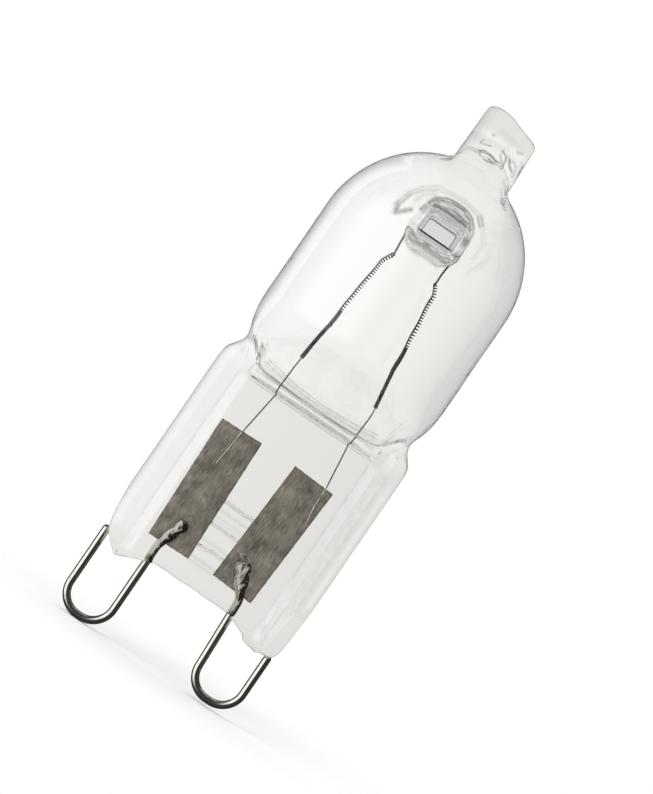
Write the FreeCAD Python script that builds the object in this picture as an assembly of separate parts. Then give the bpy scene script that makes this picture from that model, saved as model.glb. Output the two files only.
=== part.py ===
import FreeCAD, Part
import math
import os

# Halogen capsule bulb, in millimetres. X runs across the two looped pins, Y through the flat of the
# press seal, Z up the lamp's axis. The front is towards -Y. The origin is on the axis, level with
# the lowest point of the pins.

# Looped contact pins
pin_wire = 0.55             # diameter of the wire
pin_leg_gap = 3.35          # between the middles of a loop's two legs
pin_loop_flat = 0.2         # straight stretch at the bottom of a loop
pin_end_bend = 1.1          # radius of the bend over the foil
pin_pitch = 10.05           # between the middles of the two loops
pin_offset = -0.15          # how far the pair of loops lies off the axis
pin_drop = 5.87             # from the loops' lowest point up to the lower edge of the web
pin_end_rise = 0.35         # the left loop's free end stands this much above the web's lower edge
pin_end_tuck = 0.35         # the right loop's free end goes this far into its rib's foot
right_loop_lift = 0.2       # the right loop ends this much higher than the left
right_leg_lean = 0.3        # the right loop's inner leg leans in by this much at the seal
pin_seal_rise = 1.1         # from the web's lower edge up to where a pin's end bends over
pin_foil_overlap = 1.95     # how far a pin's end reaches up its foil
left_end_shift = 0.75       # sideways reach of the left pin's end
right_end_shift = 1.2       # sideways reach of the right pin's end

# Press seal: a thin web between two ribs
seal_width = 14.55
seal_height = 13.65         # from the lower to the upper edge of the web
web_thickness = 2.3
rib_thickness = 3.8
rib_crown = 1.9             # from the rib's flank out to the seal's side
rib_flank = 0.55            # width of the slope between web and rib
flank_round = 0.18          # radius at the top and foot of that slope
rib_round = 0.75            # radius of the seal's long outer edges
rib_foot = 1.1              # how far the ribs reach below the web
foot_slope = 2.4            # width of the slope from the web down to a foot
foot_round = 0.7
left_foot_out = 5.5         # lowest point of the left foot, from the axis
right_foot_out = 5.9        # lowest point of the right foot, from the axis
left_bevel_width = 0.55     # the left rib narrows by this much at its foot
left_bevel_height = 2.6
right_bevel_width = 0.2
right_bevel_height = 1.2
shoulder_rise = 0.75        # from the web's upper edge to the top of the ribs
shoulder_round = 0.7

# Neck between the seal and the bulb
neck_height = 4.7           # from the web's upper edge to the foot of the round bulb
neck_width = 12.9           # at the waist
waist_share = 0.6           # the waist lies this far down the neck
neck_sections = 8

# Bulb
bulb_diameter = 14.0
bulb_length = 7.3           # length of the straight wall
dome_height = 7.35          # from the straight wall to the dome's pole
bulb_wall = 1.0
floor_rise = 0.8            # from the web's upper edge to the floor of the gas space
floor_slot_length = 9.6     # the gas space closes to a slot at its floor
floor_slot_width = 0.8

# Pinched-off exhaust tip
tip_width = 4.35
tip_narrowing = 0.35        # how much narrower the tip is at its top
tip_root_depth = 3.7        # front to back, at the dome
tip_top_depth = 1.3         # front to back, at its top
tip_height = 4.2            # above the dome's pole
tip_offset = 0.2            # the tip stands off the axis
tip_slant = 0.6             # the top falls this much towards +X
tip_round = 0.45
tip_bore = 1.7              # diameter of the closed bore
tip_bore_height = 1.2       # how far the bore goes up past the dome's inner face

# Two dimples pressed in from front and back, meeting in a bridge that holds the filament
dimple_height = 2.5         # the dimples' middle above the straight wall
dimple_offset = 0.12        # the dimples' middle off the axis
bridge_thickness = 1.0      # glass between the two pits
bridge_width = 3.5          # the waist of the glass around the pits
bridge_height = 3.4
bridge_round = 0.7
pit_floor_width = 2.2
pit_floor_height = 1.3
pit_floor_round = 0.4
pit_mouth_width = 6.4
pit_mouth_height = 5.8
pit_mouth_round = 2.2
pit_overshoot = 0.5         # the pit's section runs on this far outside the bulb
pit_flare = 2.0             # power by which a pit widens towards its mouth
bridge_flare = 2.2          # power by which the glass around it widens

# Foils in the seal
foil_width = 3.12
foil_length = 8.9
foil_thickness = 0.05
foil_inset = 1.4            # from the web's lower edge up to the foils
left_foil_middle = -3.03
right_foil_middle = 2.3
left_foil_turn = 1.7        # degrees, the top leans outwards
right_foil_turn = 2.8
weld_depth = 0.02           # how deep wires are pressed into the foils

# Filament: coiled legs, and a thin stretch held in the bridge
coil_diameter = 0.27
coil_bend = 0.55            # radius of a coil's bend at its shoulder
coil_floor_gap = 2.1        # from the gas space's floor up to the coil
coil_spread = 5.56          # between the two coils at their feet
coil_offset = 0.2           # the pair of coils lies off the axis
coil_bridge_gap = 1.15      # the coils end this far below the bridge
shoulder_drop = 0.75        # the coils bend in this far below their ends
shoulder_out = 0.38         # how far out the coils' shoulders stand from their ends
coil_end_spread = 3.3       # between the two coils at their upper ends
thin_wire = 0.13
hold_drop = 0.55            # the bridge holds the filament this far below the dimples' middle
hold_bend = 0.5             # radius where the legs turn into the bridge

# Inner leads
lead_wire = 0.1
lead_bend = 0.4             # radius of a lead's kinks
lead_in_coil = 3.8          # length of the lead's end inside the coil
lead_straight = 0.5         # the lead runs on straight this far below the coil
lead_foil_overlap = 2.75    # how far a lead reaches down its foil
left_lead_shift = -0.2      # where the lead lies, off the foil's middle line
right_lead_shift = 1.05
lead_sway = 0.06            # sideways kink of a lead at the floor of the gas space

# Levels and places that follow from the sizes
web_low = pin_drop
web_top = web_low + seal_height
bulb_low = web_top + neck_height
dome_low = bulb_low + bulb_length
dome_top = dome_low + dome_height
gas_floor = web_top + floor_rise
bulb_radius = bulb_diameter / 2
gas_radius = bulb_radius - bulb_wall
dimple_level = dome_low + dimple_height
foil_low = web_low + foil_inset
foil_middle = foil_low + foil_length / 2
pin_plane = weld_depth - (foil_thickness + pin_wire) / 2
lead_plane = weld_depth - (foil_thickness + lead_wire) / 2


def point(x, z, y=0.0):
    return FreeCAD.Vector(x, y, z)


def blend(start, end, share):
    eased = share * share * (3 - 2 * share)
    return start + (end - start) * eased


def ellipse_wire(half_width, half_depth, z, x=0.0):
    # A level section; a round one is a circle.
    middle = point(x, z)
    up = FreeCAD.Vector(0, 0, 1)
    if abs(half_width - half_depth) < 1e-9:
        return Part.Wire(Part.Circle(middle, up, half_width).toShape())
    long_end = point(x + half_width, z)
    short_end = point(x, z, half_depth)
    if half_depth > half_width:
        long_end, short_end = short_end, point(x - half_width, z)
    return Part.Wire(Part.Ellipse(long_end, short_end, middle).toShape())


def rounded_route(corners, radii, closed=False):
    # Straight runs joined by tangent arcs, one radius for each corner that turns; an arc takes at
    # most its share of the shorter run beside it.
    run_share = 0.48
    least_turn = 0.001
    count = len(corners)
    turned = range(count) if closed else range(1, count - 1)
    joins = {}
    for i, radius in zip(turned, radii):
        here = corners[i]
        back = corners[i - 1] - here
        ahead = corners[(i + 1) % count] - here
        shorter = min(back.Length, ahead.Length)
        back.normalize()
        ahead.normalize()
        half_turn = (math.pi - back.getAngle(ahead)) / 2
        if half_turn < least_turn:
            continue
        reach = min(radius * math.tan(half_turn), run_share * shorter)
        middle = reach / math.sin(half_turn) - reach / math.tan(half_turn)
        inward = (back + ahead).normalize()
        joins[i] = (here + back * reach, here + inward * middle, here + ahead * reach)
    edges = []
    for i in range(count if closed else count - 1):
        following = (i + 1) % count
        start = joins[i][2] if i in joins else corners[i]
        end = joins[following][0] if following in joins else corners[following]
        edges.append(Part.LineSegment(start, end).toShape())
        if following in joins:
            edges.append(Part.Arc(*joins[following]).toShape())
    return Part.Wire(edges)


def wire_along(route, diameter):
    first = route.OrderedEdges[0]
    start = first.valueAt(first.FirstParameter)
    heading = first.tangentAt(first.FirstParameter)
    section = Part.Wire(Part.Circle(start, heading, diameter / 2).toShape())
    return route.makePipeShell([section], True, False)


def bridge_section(half_width, half_height, radius, y):
    # A rounded rectangle across the dimples, facing front to back.
    x, z = dimple_offset, dimple_level
    corners = [
        point(x - half_width, z - half_height, y),
        point(x + half_width, z - half_height, y),
        point(x + half_width, z + half_height, y),
        point(x - half_width, z + half_height, y),
    ]
    return rounded_route(corners, [radius] * 4, closed=True)


def turned_bulb(radius, low, wall):
    # Straight wall and dome; the dome's side is an ellipse.
    height = dome_height - wall
    foot = point(0, low)
    rim = point(radius, dome_low)
    pole = point(0, dome_low + height)
    ends = (pole, rim) if height > radius else (rim, pole)
    oval = Part.Ellipse(ends[0], ends[1], point(0, dome_low))
    dome = Part.ArcOfEllipse(oval, 0, math.pi / 2)
    sides = [
        Part.LineSegment(foot, point(radius, low)).toShape(),
        Part.LineSegment(point(radius, low), rim).toShape(),
        dome.toShape(),
        Part.LineSegment(pole, foot).toShape(),
    ]
    face = Part.Face(Part.Wire(Part.__sortEdges__(sides)))
    return face.revolve(point(0, 0), FreeCAD.Vector(0, 0, 1), 360)


def neck():
    # The tube flattens from round to the thickness of the ribs.
    waist = neck_width / 2
    foot = seal_width / 2 - rib_round
    sections = []
    for i in range(neck_sections + 1):
        share = i / neck_sections
        if share < waist_share:
            half_width = blend(bulb_radius, waist, share / waist_share)
        else:
            half_width = blend(waist, foot, (share - waist_share) / (1 - waist_share))
        half_depth = blend(bulb_radius, rib_thickness / 2, share)
        sections.append(ellipse_wire(half_width, half_depth, bulb_low - share * neck_height))
    return Part.makeLoft(sections, True)


def gas_space():
    # The bulb's hollow, closing to a slot above the seal.
    sections = []
    for i in range(neck_sections + 1):
        share = i / neck_sections
        half_width = blend(gas_radius, floor_slot_length / 2, share)
        half_depth = blend(gas_radius, floor_slot_width / 2, share)
        level = bulb_low + (gas_floor - bulb_low) * share
        sections.append(ellipse_wire(half_width, half_depth, level))
    hollow = turned_bulb(gas_radius, bulb_low, bulb_wall).fuse(Part.makeLoft(sections, True))
    bore_low = dome_top - 2 * bulb_wall
    bore_top = dome_top - bulb_wall + tip_bore_height
    bore = Part.makeCylinder(tip_bore / 2, bore_top - bore_low, point(tip_offset, bore_low))
    bore = bore.fuse(Part.makeSphere(tip_bore / 2, point(tip_offset, bore_top)))
    return hollow.fuse(bore).removeSplitter()


def seal():
    # The ribbed section, cut to the outline of the seal as seen from the front.
    side = seal_width / 2
    web = web_thickness / 2
    rib = rib_thickness / 2
    crown = side - rib_crown
    flank = crown - rib_flank
    quarter = [
        (side, rib, rib_round),
        (crown, rib, flank_round),
        (flank, web, flank_round),
    ]
    back = quarter + [(-x, y, r) for x, y, r in reversed(quarter)]
    ring = back + [(x, -y, r) for x, y, r in reversed(back)]
    low = web_low - rib_foot
    corners = [point(x, low, y) for x, y, r in ring]
    section = Part.Face(rounded_route(corners, [r for x, y, r in ring], closed=True))
    top = web_top + shoulder_rise
    block = section.extrude(point(0, top - low))

    left_web = left_foot_out - foot_slope
    right_web = right_foot_out - foot_slope
    left_side = side - left_bevel_width
    right_side = side - right_bevel_width
    front = [
        (-side, top, shoulder_round),
        (-side, web_low + left_bevel_height, foot_round),
        (-left_side, web_low, foot_round),
        (-left_foot_out, low, foot_round),
        (-left_web, web_low, foot_round),
        (right_web, web_low, foot_round),
        (right_foot_out, low, foot_round),
        (right_side, web_low - rib_foot / 2, foot_round / 2),
        (side, web_low + right_bevel_height, foot_round),
        (side, top, shoulder_round),
    ]
    corners = [point(x, z, -rib) for x, z, r in front]
    outline = Part.Face(rounded_route(corners, [r for x, z, r in front], closed=True))
    return block.common(outline.extrude(FreeCAD.Vector(0, rib_thickness, 0)))


def tip():
    # The exhaust tube, round at the dome and pressed flat at its top, which slopes to one side.
    low = dome_top - bulb_wall / 2
    top = dome_top + tip_height
    steps = 4
    sections = []
    for i in range(steps + 1):
        share = i / steps
        half_width = (tip_width - tip_narrowing * share) / 2
        half_depth = blend(tip_root_depth, tip_top_depth, share) / 2
        sections.append(ellipse_wire(half_width, half_depth, low + (top - low) * share, tip_offset))
    body = Part.makeLoft(sections, True)
    half = tip_width / 2
    front = [
        point(tip_offset - half, low, -tip_root_depth),
        point(tip_offset + half, low, -tip_root_depth),
        point(tip_offset + half - tip_narrowing / 2, top - tip_slant, -tip_root_depth),
        point(tip_offset - half + tip_narrowing / 2, top, -tip_root_depth),
    ]
    outline = Part.Face(rounded_route(front, [tip_round] * 4, closed=True))
    return body.common(outline.extrude(FreeCAD.Vector(0, 2 * tip_root_depth, 0)))


def pit(side):
    # One dimple's hollow, flaring from its floor to its mouth; side is -1 at the front.
    floor = bridge_thickness / 2
    reach = bulb_radius - floor
    steps = 4
    sections = []
    for i in range(steps + 1):
        depth = floor + (reach + pit_overshoot) * i / steps
        flare = ((depth - floor) / reach) ** pit_flare
        half_width = (pit_floor_width + (pit_mouth_width - pit_floor_width) * flare) / 2
        half_height = (pit_floor_height + (pit_mouth_height - pit_floor_height) * flare) / 2
        radius = pit_floor_round + (pit_mouth_round - pit_floor_round) * flare
        sections.append(bridge_section(half_width, half_height, radius, side * depth))
    return Part.makeLoft(sections, True)


def bridge():
    # The glass around both pits, from the front wall to the back wall.
    steps = 8
    sections = []
    for i in range(steps + 1):
        depth = bulb_radius * (2 * i / steps - 1)
        flare = abs(depth / bulb_radius) ** bridge_flare
        mouth_width = pit_mouth_width + 2 * bulb_wall
        mouth_height = pit_mouth_height + 2 * bulb_wall
        half_width = (bridge_width + (mouth_width - bridge_width) * flare) / 2
        half_height = (bridge_height + (mouth_height - bridge_height) * flare) / 2
        radius = bridge_round + (pit_mouth_round + bulb_wall - bridge_round) * flare
        sections.append(bridge_section(half_width, half_height, radius, depth))
    return Part.makeLoft(sections, True)


def quartz_envelope(sealed_in):
    glass = turned_bulb(bulb_radius, bulb_low, 0).fuse([neck(), seal(), tip()])
    glass = glass.cut([pit(-1), pit(1)])
    glass = glass.cut(gas_space().cut(bridge()))
    return glass.cut(sealed_in)


def foil(middle, turn):
    strip = Part.makeBox(foil_width, foil_thickness, foil_length,
                         point(-foil_width / 2, -foil_length / 2, -foil_thickness / 2))
    strip.rotate(point(0, 0), FreeCAD.Vector(0, 1, 0), turn)
    strip.translate(point(middle, foil_middle))
    return strip


def foil_line(middle, turn, level):
    # The foil's middle line at a level.
    return middle + math.tan(math.radians(turn)) * (level - foil_middle)


def pin(hand, lift, lean, free_end, end_shift):
    # A loop of wire; hand is -1 on the left. Its inner leg goes into the seal and bends over its foil.
    middle = pin_offset + hand * pin_pitch / 2
    outer = middle + hand * pin_leg_gap / 2
    inner = middle - hand * pin_leg_gap / 2
    low = pin_wire / 2 + lift
    bend = (pin_leg_gap - pin_loop_flat) / 2
    bent = web_low + pin_seal_rise
    corners = [
        point(outer, free_end, pin_plane),
        point(outer, low, pin_plane),
        point(inner, low, pin_plane),
        point(inner - hand * lean, bent, pin_plane),
        point(inner - hand * (lean + end_shift), foil_low + pin_foil_overlap, pin_plane),
    ]
    return wire_along(rounded_route(corners, [bend, bend, pin_end_bend]), pin_wire)


def coil_places(hand):
    # Foot, shoulder and upper end of one coiled leg.
    foot = (coil_offset + hand * coil_spread / 2, gas_floor + coil_floor_gap)
    end_level = dimple_level - bridge_height / 2 - coil_bridge_gap
    end = (dimple_offset + hand * coil_end_spread / 2, end_level)
    shoulder = (end[0] + hand * shoulder_out, end_level - shoulder_drop)
    return foot, shoulder, end


def held_stretch():
    # The filament's thin middle, up beside the bridge and across through its glass.
    level = dimple_level - hold_drop
    feet = [coil_places(hand)[2] for hand in (-1, 1)]
    corners = [
        point(feet[0][0], feet[0][1] - coil_diameter, lead_plane),
        point(dimple_offset - bridge_width / 2, level, lead_plane),
        point(dimple_offset + bridge_width / 2, level, lead_plane),
        point(feet[1][0], feet[1][1] - coil_diameter, lead_plane),
    ]
    return wire_along(rounded_route(corners, [hold_bend] * 2), thin_wire)


def filament(middle, leads):
    coils = []
    for hand in (-1, 1):
        places = [point(x, z, lead_plane) for x, z in coil_places(hand)]
        coils.append(wire_along(rounded_route(places, [coil_bend]), coil_diameter))
    return middle.fuse(coils).removeSplitter().cut(leads)


def lead(hand, middle, turn, shift):
    # From inside the coil down through the gas space's floor and over the front of the foil.
    foot, shoulder, end = [point(x, z, lead_plane) for x, z in coil_places(hand)]
    along = (shoulder - foot).normalize()
    foil_top = foil_low + foil_length
    last = foil_top - lead_foil_overlap
    below = foot - along * lead_straight
    corners = [
        foot + along * lead_in_coil,
        below,
        point(below.x + hand * lead_sway, gas_floor, lead_plane),
        point(below.x, web_top, lead_plane),
        point(foil_line(middle, turn, foil_top) + shift, foil_top, lead_plane),
        point(foil_line(middle, turn, last) + shift, last, lead_plane),
    ]
    return wire_along(rounded_route(corners, [lead_bend] * 4), lead_wire)


foils = {
    "foil_left": foil(left_foil_middle, -left_foil_turn),
    "foil_right": foil(right_foil_middle, right_foil_turn),
}
leads = {
    "lead_left": lead(-1, left_foil_middle, -left_foil_turn, left_lead_shift),
    "lead_right": lead(1, right_foil_middle, right_foil_turn, right_lead_shift),
}
pins = {
    "pin_left": pin(-1, 0, 0, web_low + pin_end_rise, left_end_shift),
    "pin_right": pin(1, right_loop_lift, right_leg_lean, web_low - rib_foot + pin_end_tuck,
                     right_end_shift),
}
wires = list(pins.values()) + list(leads.values())
held = held_stretch()
parts = {"quartz_envelope": quartz_envelope(list(foils.values()) + wires + [held])}
for name, strip in foils.items():
    parts[name] = strip.cut(wires)
parts.update(leads)
parts.update(pins)
parts["filament"] = filament(held, list(leads.values()))

os.makedirs("parts", exist_ok=True)
for name, shape in parts.items():
    solid = shape.Solids[0]
    solid.exportStep("parts/" + name + ".step")
    box = solid.BoundBox
    print(name, len(shape.Solids), solid.isValid(), round(solid.Volume, 4),
          [round(v, 2) for v in (box.XMin, box.XMax, box.YMin, box.YMax, box.ZMin, box.ZMax)])
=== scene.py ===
import math

import bmesh
import bpy
import numpy as np
from mathutils import Matrix, Vector


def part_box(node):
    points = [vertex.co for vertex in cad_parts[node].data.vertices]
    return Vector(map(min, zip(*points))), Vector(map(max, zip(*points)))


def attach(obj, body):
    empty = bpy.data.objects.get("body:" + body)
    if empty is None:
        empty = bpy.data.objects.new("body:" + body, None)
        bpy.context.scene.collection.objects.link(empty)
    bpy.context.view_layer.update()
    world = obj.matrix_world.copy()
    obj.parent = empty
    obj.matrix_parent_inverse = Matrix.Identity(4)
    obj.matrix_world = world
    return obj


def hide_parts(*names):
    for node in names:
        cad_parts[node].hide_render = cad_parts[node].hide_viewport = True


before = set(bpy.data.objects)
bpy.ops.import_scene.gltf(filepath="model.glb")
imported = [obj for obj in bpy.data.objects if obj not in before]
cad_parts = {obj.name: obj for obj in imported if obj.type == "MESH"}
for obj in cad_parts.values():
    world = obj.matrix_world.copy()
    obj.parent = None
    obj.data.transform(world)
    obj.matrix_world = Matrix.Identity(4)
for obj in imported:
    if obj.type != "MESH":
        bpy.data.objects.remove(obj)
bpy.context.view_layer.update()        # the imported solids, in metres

mm = 0.001               # shapes are worked out in millimetres


def boxOf(node):
    low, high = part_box(node)
    return np.array(low) / mm, np.array(high) / mm


def linear(hexColour):
    # sRGB hex to the linear colour that a socket takes
    parts = [int(hexColour[i:i + 2], 16) / 255 for i in (1, 3, 5)]
    return [p / 12.92 if p <= 0.04045 else ((p + 0.055) / 1.055) ** 2.4 for p in parts] + [1.0]


def addNode(tree, kind, inputs=None, **settings):
    # inputs maps a socket's name or number to a value or to the socket that feeds it
    node = tree.nodes.new(kind)
    for name, value in settings.items():
        setattr(node, name, value)
    for name, value in (inputs or {}).items():
        if isinstance(value, bpy.types.NodeSocket):
            tree.links.new(value, node.inputs[name])
        else:
            node.inputs[name].default_value = value
    return node


def newMaterial(name):
    material = bpy.data.materials.new(name)
    material.use_nodes = True
    material.node_tree.nodes.clear()
    return material, material.node_tree


def smooth(t):
    t = np.clip(t, 0, 1)
    return t * t * (3 - 2 * t)


def mix(a, b, share):
    return a + (b - a) * share


# Fused quartz, drawn as tube, pressed flat at the seal and fire-polished: water-clear, with faint draw
# streaks.
# Painted shade adds thin grey lines along sharp bends and painted dark lines, a grey rim, a greyer tone
# where it was pressed or pinched off and a greyer right side; painted highlight lifts that tone in strips.
def quartzMaterial():
    look = {
        # painted shade: 'pressed' is the greyer tone painted on seal and tip, 'bend' the grey of painted
        # lines and rims
        "clear": "#FFFFFE", "pressed": "#EDECE9", "bend": "#6B6762",
        "pressedTop": 20.3, "pressedFade": 1.2,    # mm, the painted greyer shade reaches up to here
        "tipFrom": 38.6, "tipTo": 40.8,            # mm, the painted shade greys it again between these levels
        "left": -7.0, "right": 7.0, "paintedShadeRight": "#F7F6F5",    # mm, painted shade makes the right a little greyer, as if lit from the left
        "rimFrom": 0.72, "rimShare": 0.7,          # painted shade darkens the outline from here to grazing view
        "streakWidth": 0.9,      # mm across, drawn wider than real so that they show
        "streakLength": 9.0,     # mm along the tube
        "streakDepth": 0.0012,   # mm
    }
    material, tree = newMaterial("fused quartz, drawn and pressed")
    place = addNode(tree, "ShaderNodeTexCoord").outputs["Object"]
    axes = addNode(tree, "ShaderNodeSeparateXYZ", {0: place}).outputs
    # painted shade: greyer where pressed at the seal and pinched off at the tip
    pressed = addNode(tree, "ShaderNodeMapRange", {
        "Value": axes["Z"], "From Min": (look["pressedTop"] + look["pressedFade"]) * mm,
        "From Max": (look["pressedTop"] - look["pressedFade"]) * mm}, interpolation_type="SMOOTHSTEP")
    pinchedPaintedShade = addNode(tree, "ShaderNodeMapRange", {
        "Value": axes["Z"], "From Min": look["tipFrom"] * mm, "From Max": look["tipTo"] * mm},
        interpolation_type="SMOOTHSTEP")
    pressedPaintedShade = addNode(tree, "ShaderNodeMath", {
        0: pressed.outputs["Result"], 1: pinchedPaintedShade.outputs["Result"]}, operation="MAXIMUM")
    tint = addNode(tree, "ShaderNodeMix", {
        0: pressedPaintedShade.outputs[0], 6: linear(look["clear"]), 7: linear(look["pressed"])}, data_type="RGBA")
    # painted shade: the glass greys towards the right
    paintedShadeRightward = addNode(tree, "ShaderNodeMapRange", {
        "Value": axes["X"], "From Min": look["left"] * mm, "From Max": look["right"] * mm})
    tint = addNode(tree, "ShaderNodeMix", {
        0: paintedShadeRightward.outputs["Result"], 6: tint.outputs[2], 7: linear(look["paintedShadeRight"])},
        data_type="RGBA", blend_type="MULTIPLY")
    # these shares come with the mesh: painted highlight on ribs and tip, painted shade lines along bends
    # and painted dark lines
    clean = addNode(tree, "ShaderNodeAttribute", attribute_name="clean")
    tint = addNode(tree, "ShaderNodeMix", {
        0: clean.outputs["Fac"], 6: tint.outputs[2], 7: linear(look["clear"])}, data_type="RGBA")
    bend = addNode(tree, "ShaderNodeAttribute", attribute_name="bend")
    tint = addNode(tree, "ShaderNodeMix", {
        0: bend.outputs["Fac"], 6: tint.outputs[2], 7: linear(look["bend"])}, data_type="RGBA")
    # painted shade: a thin grey rim, from whichever side the lamp is seen
    facing = addNode(tree, "ShaderNodeLayerWeight", {"Blend": 0.5}).outputs["Facing"]
    edge = addNode(tree, "ShaderNodeMapRange", {
        "Value": facing, "From Min": look["rimFrom"], "From Max": 1.0, "To Max": look["rimShare"]})
    outside = addNode(tree, "ShaderNodeAttribute", attribute_name="outside")
    paintedRim = addNode(tree, "ShaderNodeMath", {
        0: edge.outputs["Result"], 1: outside.outputs["Fac"]}, operation="MULTIPLY")
    tint = addNode(tree, "ShaderNodeMix", {
        0: paintedRim.outputs[0], 6: tint.outputs[2], 7: linear(look["bend"])}, data_type="RGBA")
    across = 1 / (look["streakWidth"] * mm)
    along = 1 / (look["streakLength"] * mm)
    drawn = addNode(tree, "ShaderNodeMapping", {"Vector": place, "Scale": (across, across, along)})
    streaks = addNode(tree, "ShaderNodeTexNoise", {
        "Vector": drawn.outputs["Vector"], "Scale": 1.0, "Detail": 1.0})
    relief = addNode(tree, "ShaderNodeBump", {
        "Height": streaks.outputs["Fac"], "Strength": 1.0, "Distance": look["streakDepth"] * mm})
    glass = addNode(tree, "ShaderNodeBsdfPrincipled", {
        "Base Color": tint.outputs[2], "Roughness": 0.0, "IOR": 1.458,
        "Transmission Weight": 1.0, "Normal": relief.outputs["Normal"]})
    # lets the lamp's light through to the wires and the floor
    clear = addNode(tree, "ShaderNodeBsdfTransparent")
    path = addNode(tree, "ShaderNodeLightPath")
    both = addNode(tree, "ShaderNodeMixShader", {
        0: path.outputs["Is Shadow Ray"], 1: glass.outputs[0], 2: clear.outputs[0]})
    addNode(tree, "ShaderNodeOutputMaterial", {"Surface": both.outputs[0]})
    return material


# A drawn or rolled metal: base tone with long streaks along the lamp and a fine grain, and a roughness
# that follows them. Where the glass was pressed onto a wire, painted shine and painted shade patch it pale
# and dark.
def metalMaterial(name, look):
    # levels of the noise that get the end tones
    noise = {"low": 0.35, "high": 0.65, "patchLow": 0.41, "patchHigh": 0.59}
    material, tree = newMaterial(name)
    coordinates = addNode(tree, "ShaderNodeTexCoord").outputs
    place = coordinates["Object"]
    across = 1 / (look["streakWidth"] * mm)
    along = 1 / (look["streakLength"] * mm)
    drawn = addNode(tree, "ShaderNodeMapping", {"Vector": place, "Scale": (across, across, along)})
    streaks = addNode(tree, "ShaderNodeTexNoise", {
        "Vector": drawn.outputs["Vector"], "Scale": 1.0, "Detail": 4.0, "Roughness": 0.6})
    grain = addNode(tree, "ShaderNodeTexNoise", {
        "Vector": place, "Scale": 1 / (look["grain"] * mm), "Detail": 2.0})
    uneven = addNode(tree, "ShaderNodeMix", {
        "Factor": look["grainShare"], "A": streaks.outputs["Fac"], "B": grain.outputs["Fac"]}).outputs[0]
    tone = addNode(tree, "ShaderNodeValToRGB", {"Fac": uneven})
    ramps = [(tone, noise["low"], noise["high"], look)]
    colour = tone.outputs["Color"]
    rough = addNode(tree, "ShaderNodeMapRange", {
        "Value": uneven, "From Min": noise["low"], "From Max": noise["high"],
        "To Min": look["roughest"], "To Max": look["smoothest"]})
    if "paintedShineAndShade" in look:
        paintedShineAndShade = look["paintedShineAndShade"]
        axes = addNode(tree, "ShaderNodeSeparateXYZ", {0: place}).outputs
        aside = addNode(tree, "ShaderNodeMath", {0: axes["X"]}, operation="ABSOLUTE").outputs[0]
        inner = addNode(tree, "ShaderNodeMath", {
            0: aside, 1: paintedShineAndShade["within"] * mm}, operation="LESS_THAN").outputs[0]
        high = addNode(tree, "ShaderNodeMapRange", {
            "Value": axes["Z"], "From Min": paintedShineAndShade["from"] * mm,
            "From Max": paintedShineAndShade["to"] * mm}).outputs["Result"]
        held = addNode(tree, "ShaderNodeMath", {0: inner, 1: high}, operation="MULTIPLY").outputs[0]
        wide = 1 / (paintedShineAndShade["patchWidth"] * mm)
        long = 1 / (paintedShineAndShade["patchLength"] * mm)
        spread = addNode(tree, "ShaderNodeMapping", {"Vector": place, "Scale": (wide, wide, long)})
        patches = addNode(tree, "ShaderNodeTexNoise", {
            "Vector": spread.outputs["Vector"], "Scale": 1.0, "Detail": 2.0, "Distortion": 0.6})
        # painted shine on the left of the wire and painted shade on its right: silver rather on the left
        # and black on the right
        facing = addNode(tree, "ShaderNodeSeparateXYZ", {0: coordinates["Normal"]}).outputs["X"]
        lean = addNode(tree, "ShaderNodeMath", {
            0: facing, 1: -paintedShineAndShade["lean"], 2: patches.outputs["Fac"]}, operation="MULTIPLY_ADD").outputs[0]
        paintedShine = addNode(tree, "ShaderNodeValToRGB", {"Fac": lean})
        ramps.append((paintedShine, noise["patchLow"], noise["patchHigh"], paintedShineAndShade))
        colour = addNode(tree, "ShaderNodeMix", {
            0: held, 6: colour, 7: paintedShine.outputs["Color"]}, data_type="RGBA").outputs[2]
    for ramp, first, last, tones in ramps:
        for end, position, shade in zip(ramp.color_ramp.elements, (first, last), ("dark", "pale")):
            end.position = position
            end.color = linear(tones[shade])
    relief = addNode(tree, "ShaderNodeBump", {
        "Height": uneven, "Strength": 1.0, "Distance": look["streakDepth"] * mm})
    metal = addNode(tree, "ShaderNodeBsdfPrincipled", {
        "Base Color": colour, "Metallic": 1.0,
        "Roughness": rough.outputs["Result"], "Normal": relief.outputs["Normal"]})
    addNode(tree, "ShaderNodeOutputMaterial", {"Surface": metal.outputs[0]})
    return material


quartzGlass = quartzMaterial()
# Molybdenum foil, rolled and etched: dull grey-brown, mottled, with fine lengthwise streaks.
foilMetal = metalMaterial("molybdenum foil, rolled and etched", {
    "dark": "#6B675E", "pale": "#BAB5AA", "streakWidth": 0.055, "streakLength": 0.45, "grain": 1.15,
    "grainShare": 0.4, "roughest": 0.55, "smoothest": 0.4, "streakDepth": 0.003})
# Molybdenum wire, drawn and tumbled: polished steel grey, white on one side and black on the other; in the
# seal that is painted shine and painted shade.
pinMetal = metalMaterial("molybdenum wire, drawn and tumbled", {
    "dark": "#B9B6AF", "pale": "#D6D3CC", "streakWidth": 0.12, "streakLength": 1.5, "grain": 0.2,
    "grainShare": 0.3, "roughest": 0.22, "smoothest": 0.14, "streakDepth": 0.001,
    "paintedShineAndShade": {"from": 5.75, "to": 5.95, "within": 5.0, "patchWidth": 0.3, "patchLength": 0.8, "lean": 0.32,
               "dark": "#2E2B28", "pale": "#D2CFC8"}})
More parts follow.
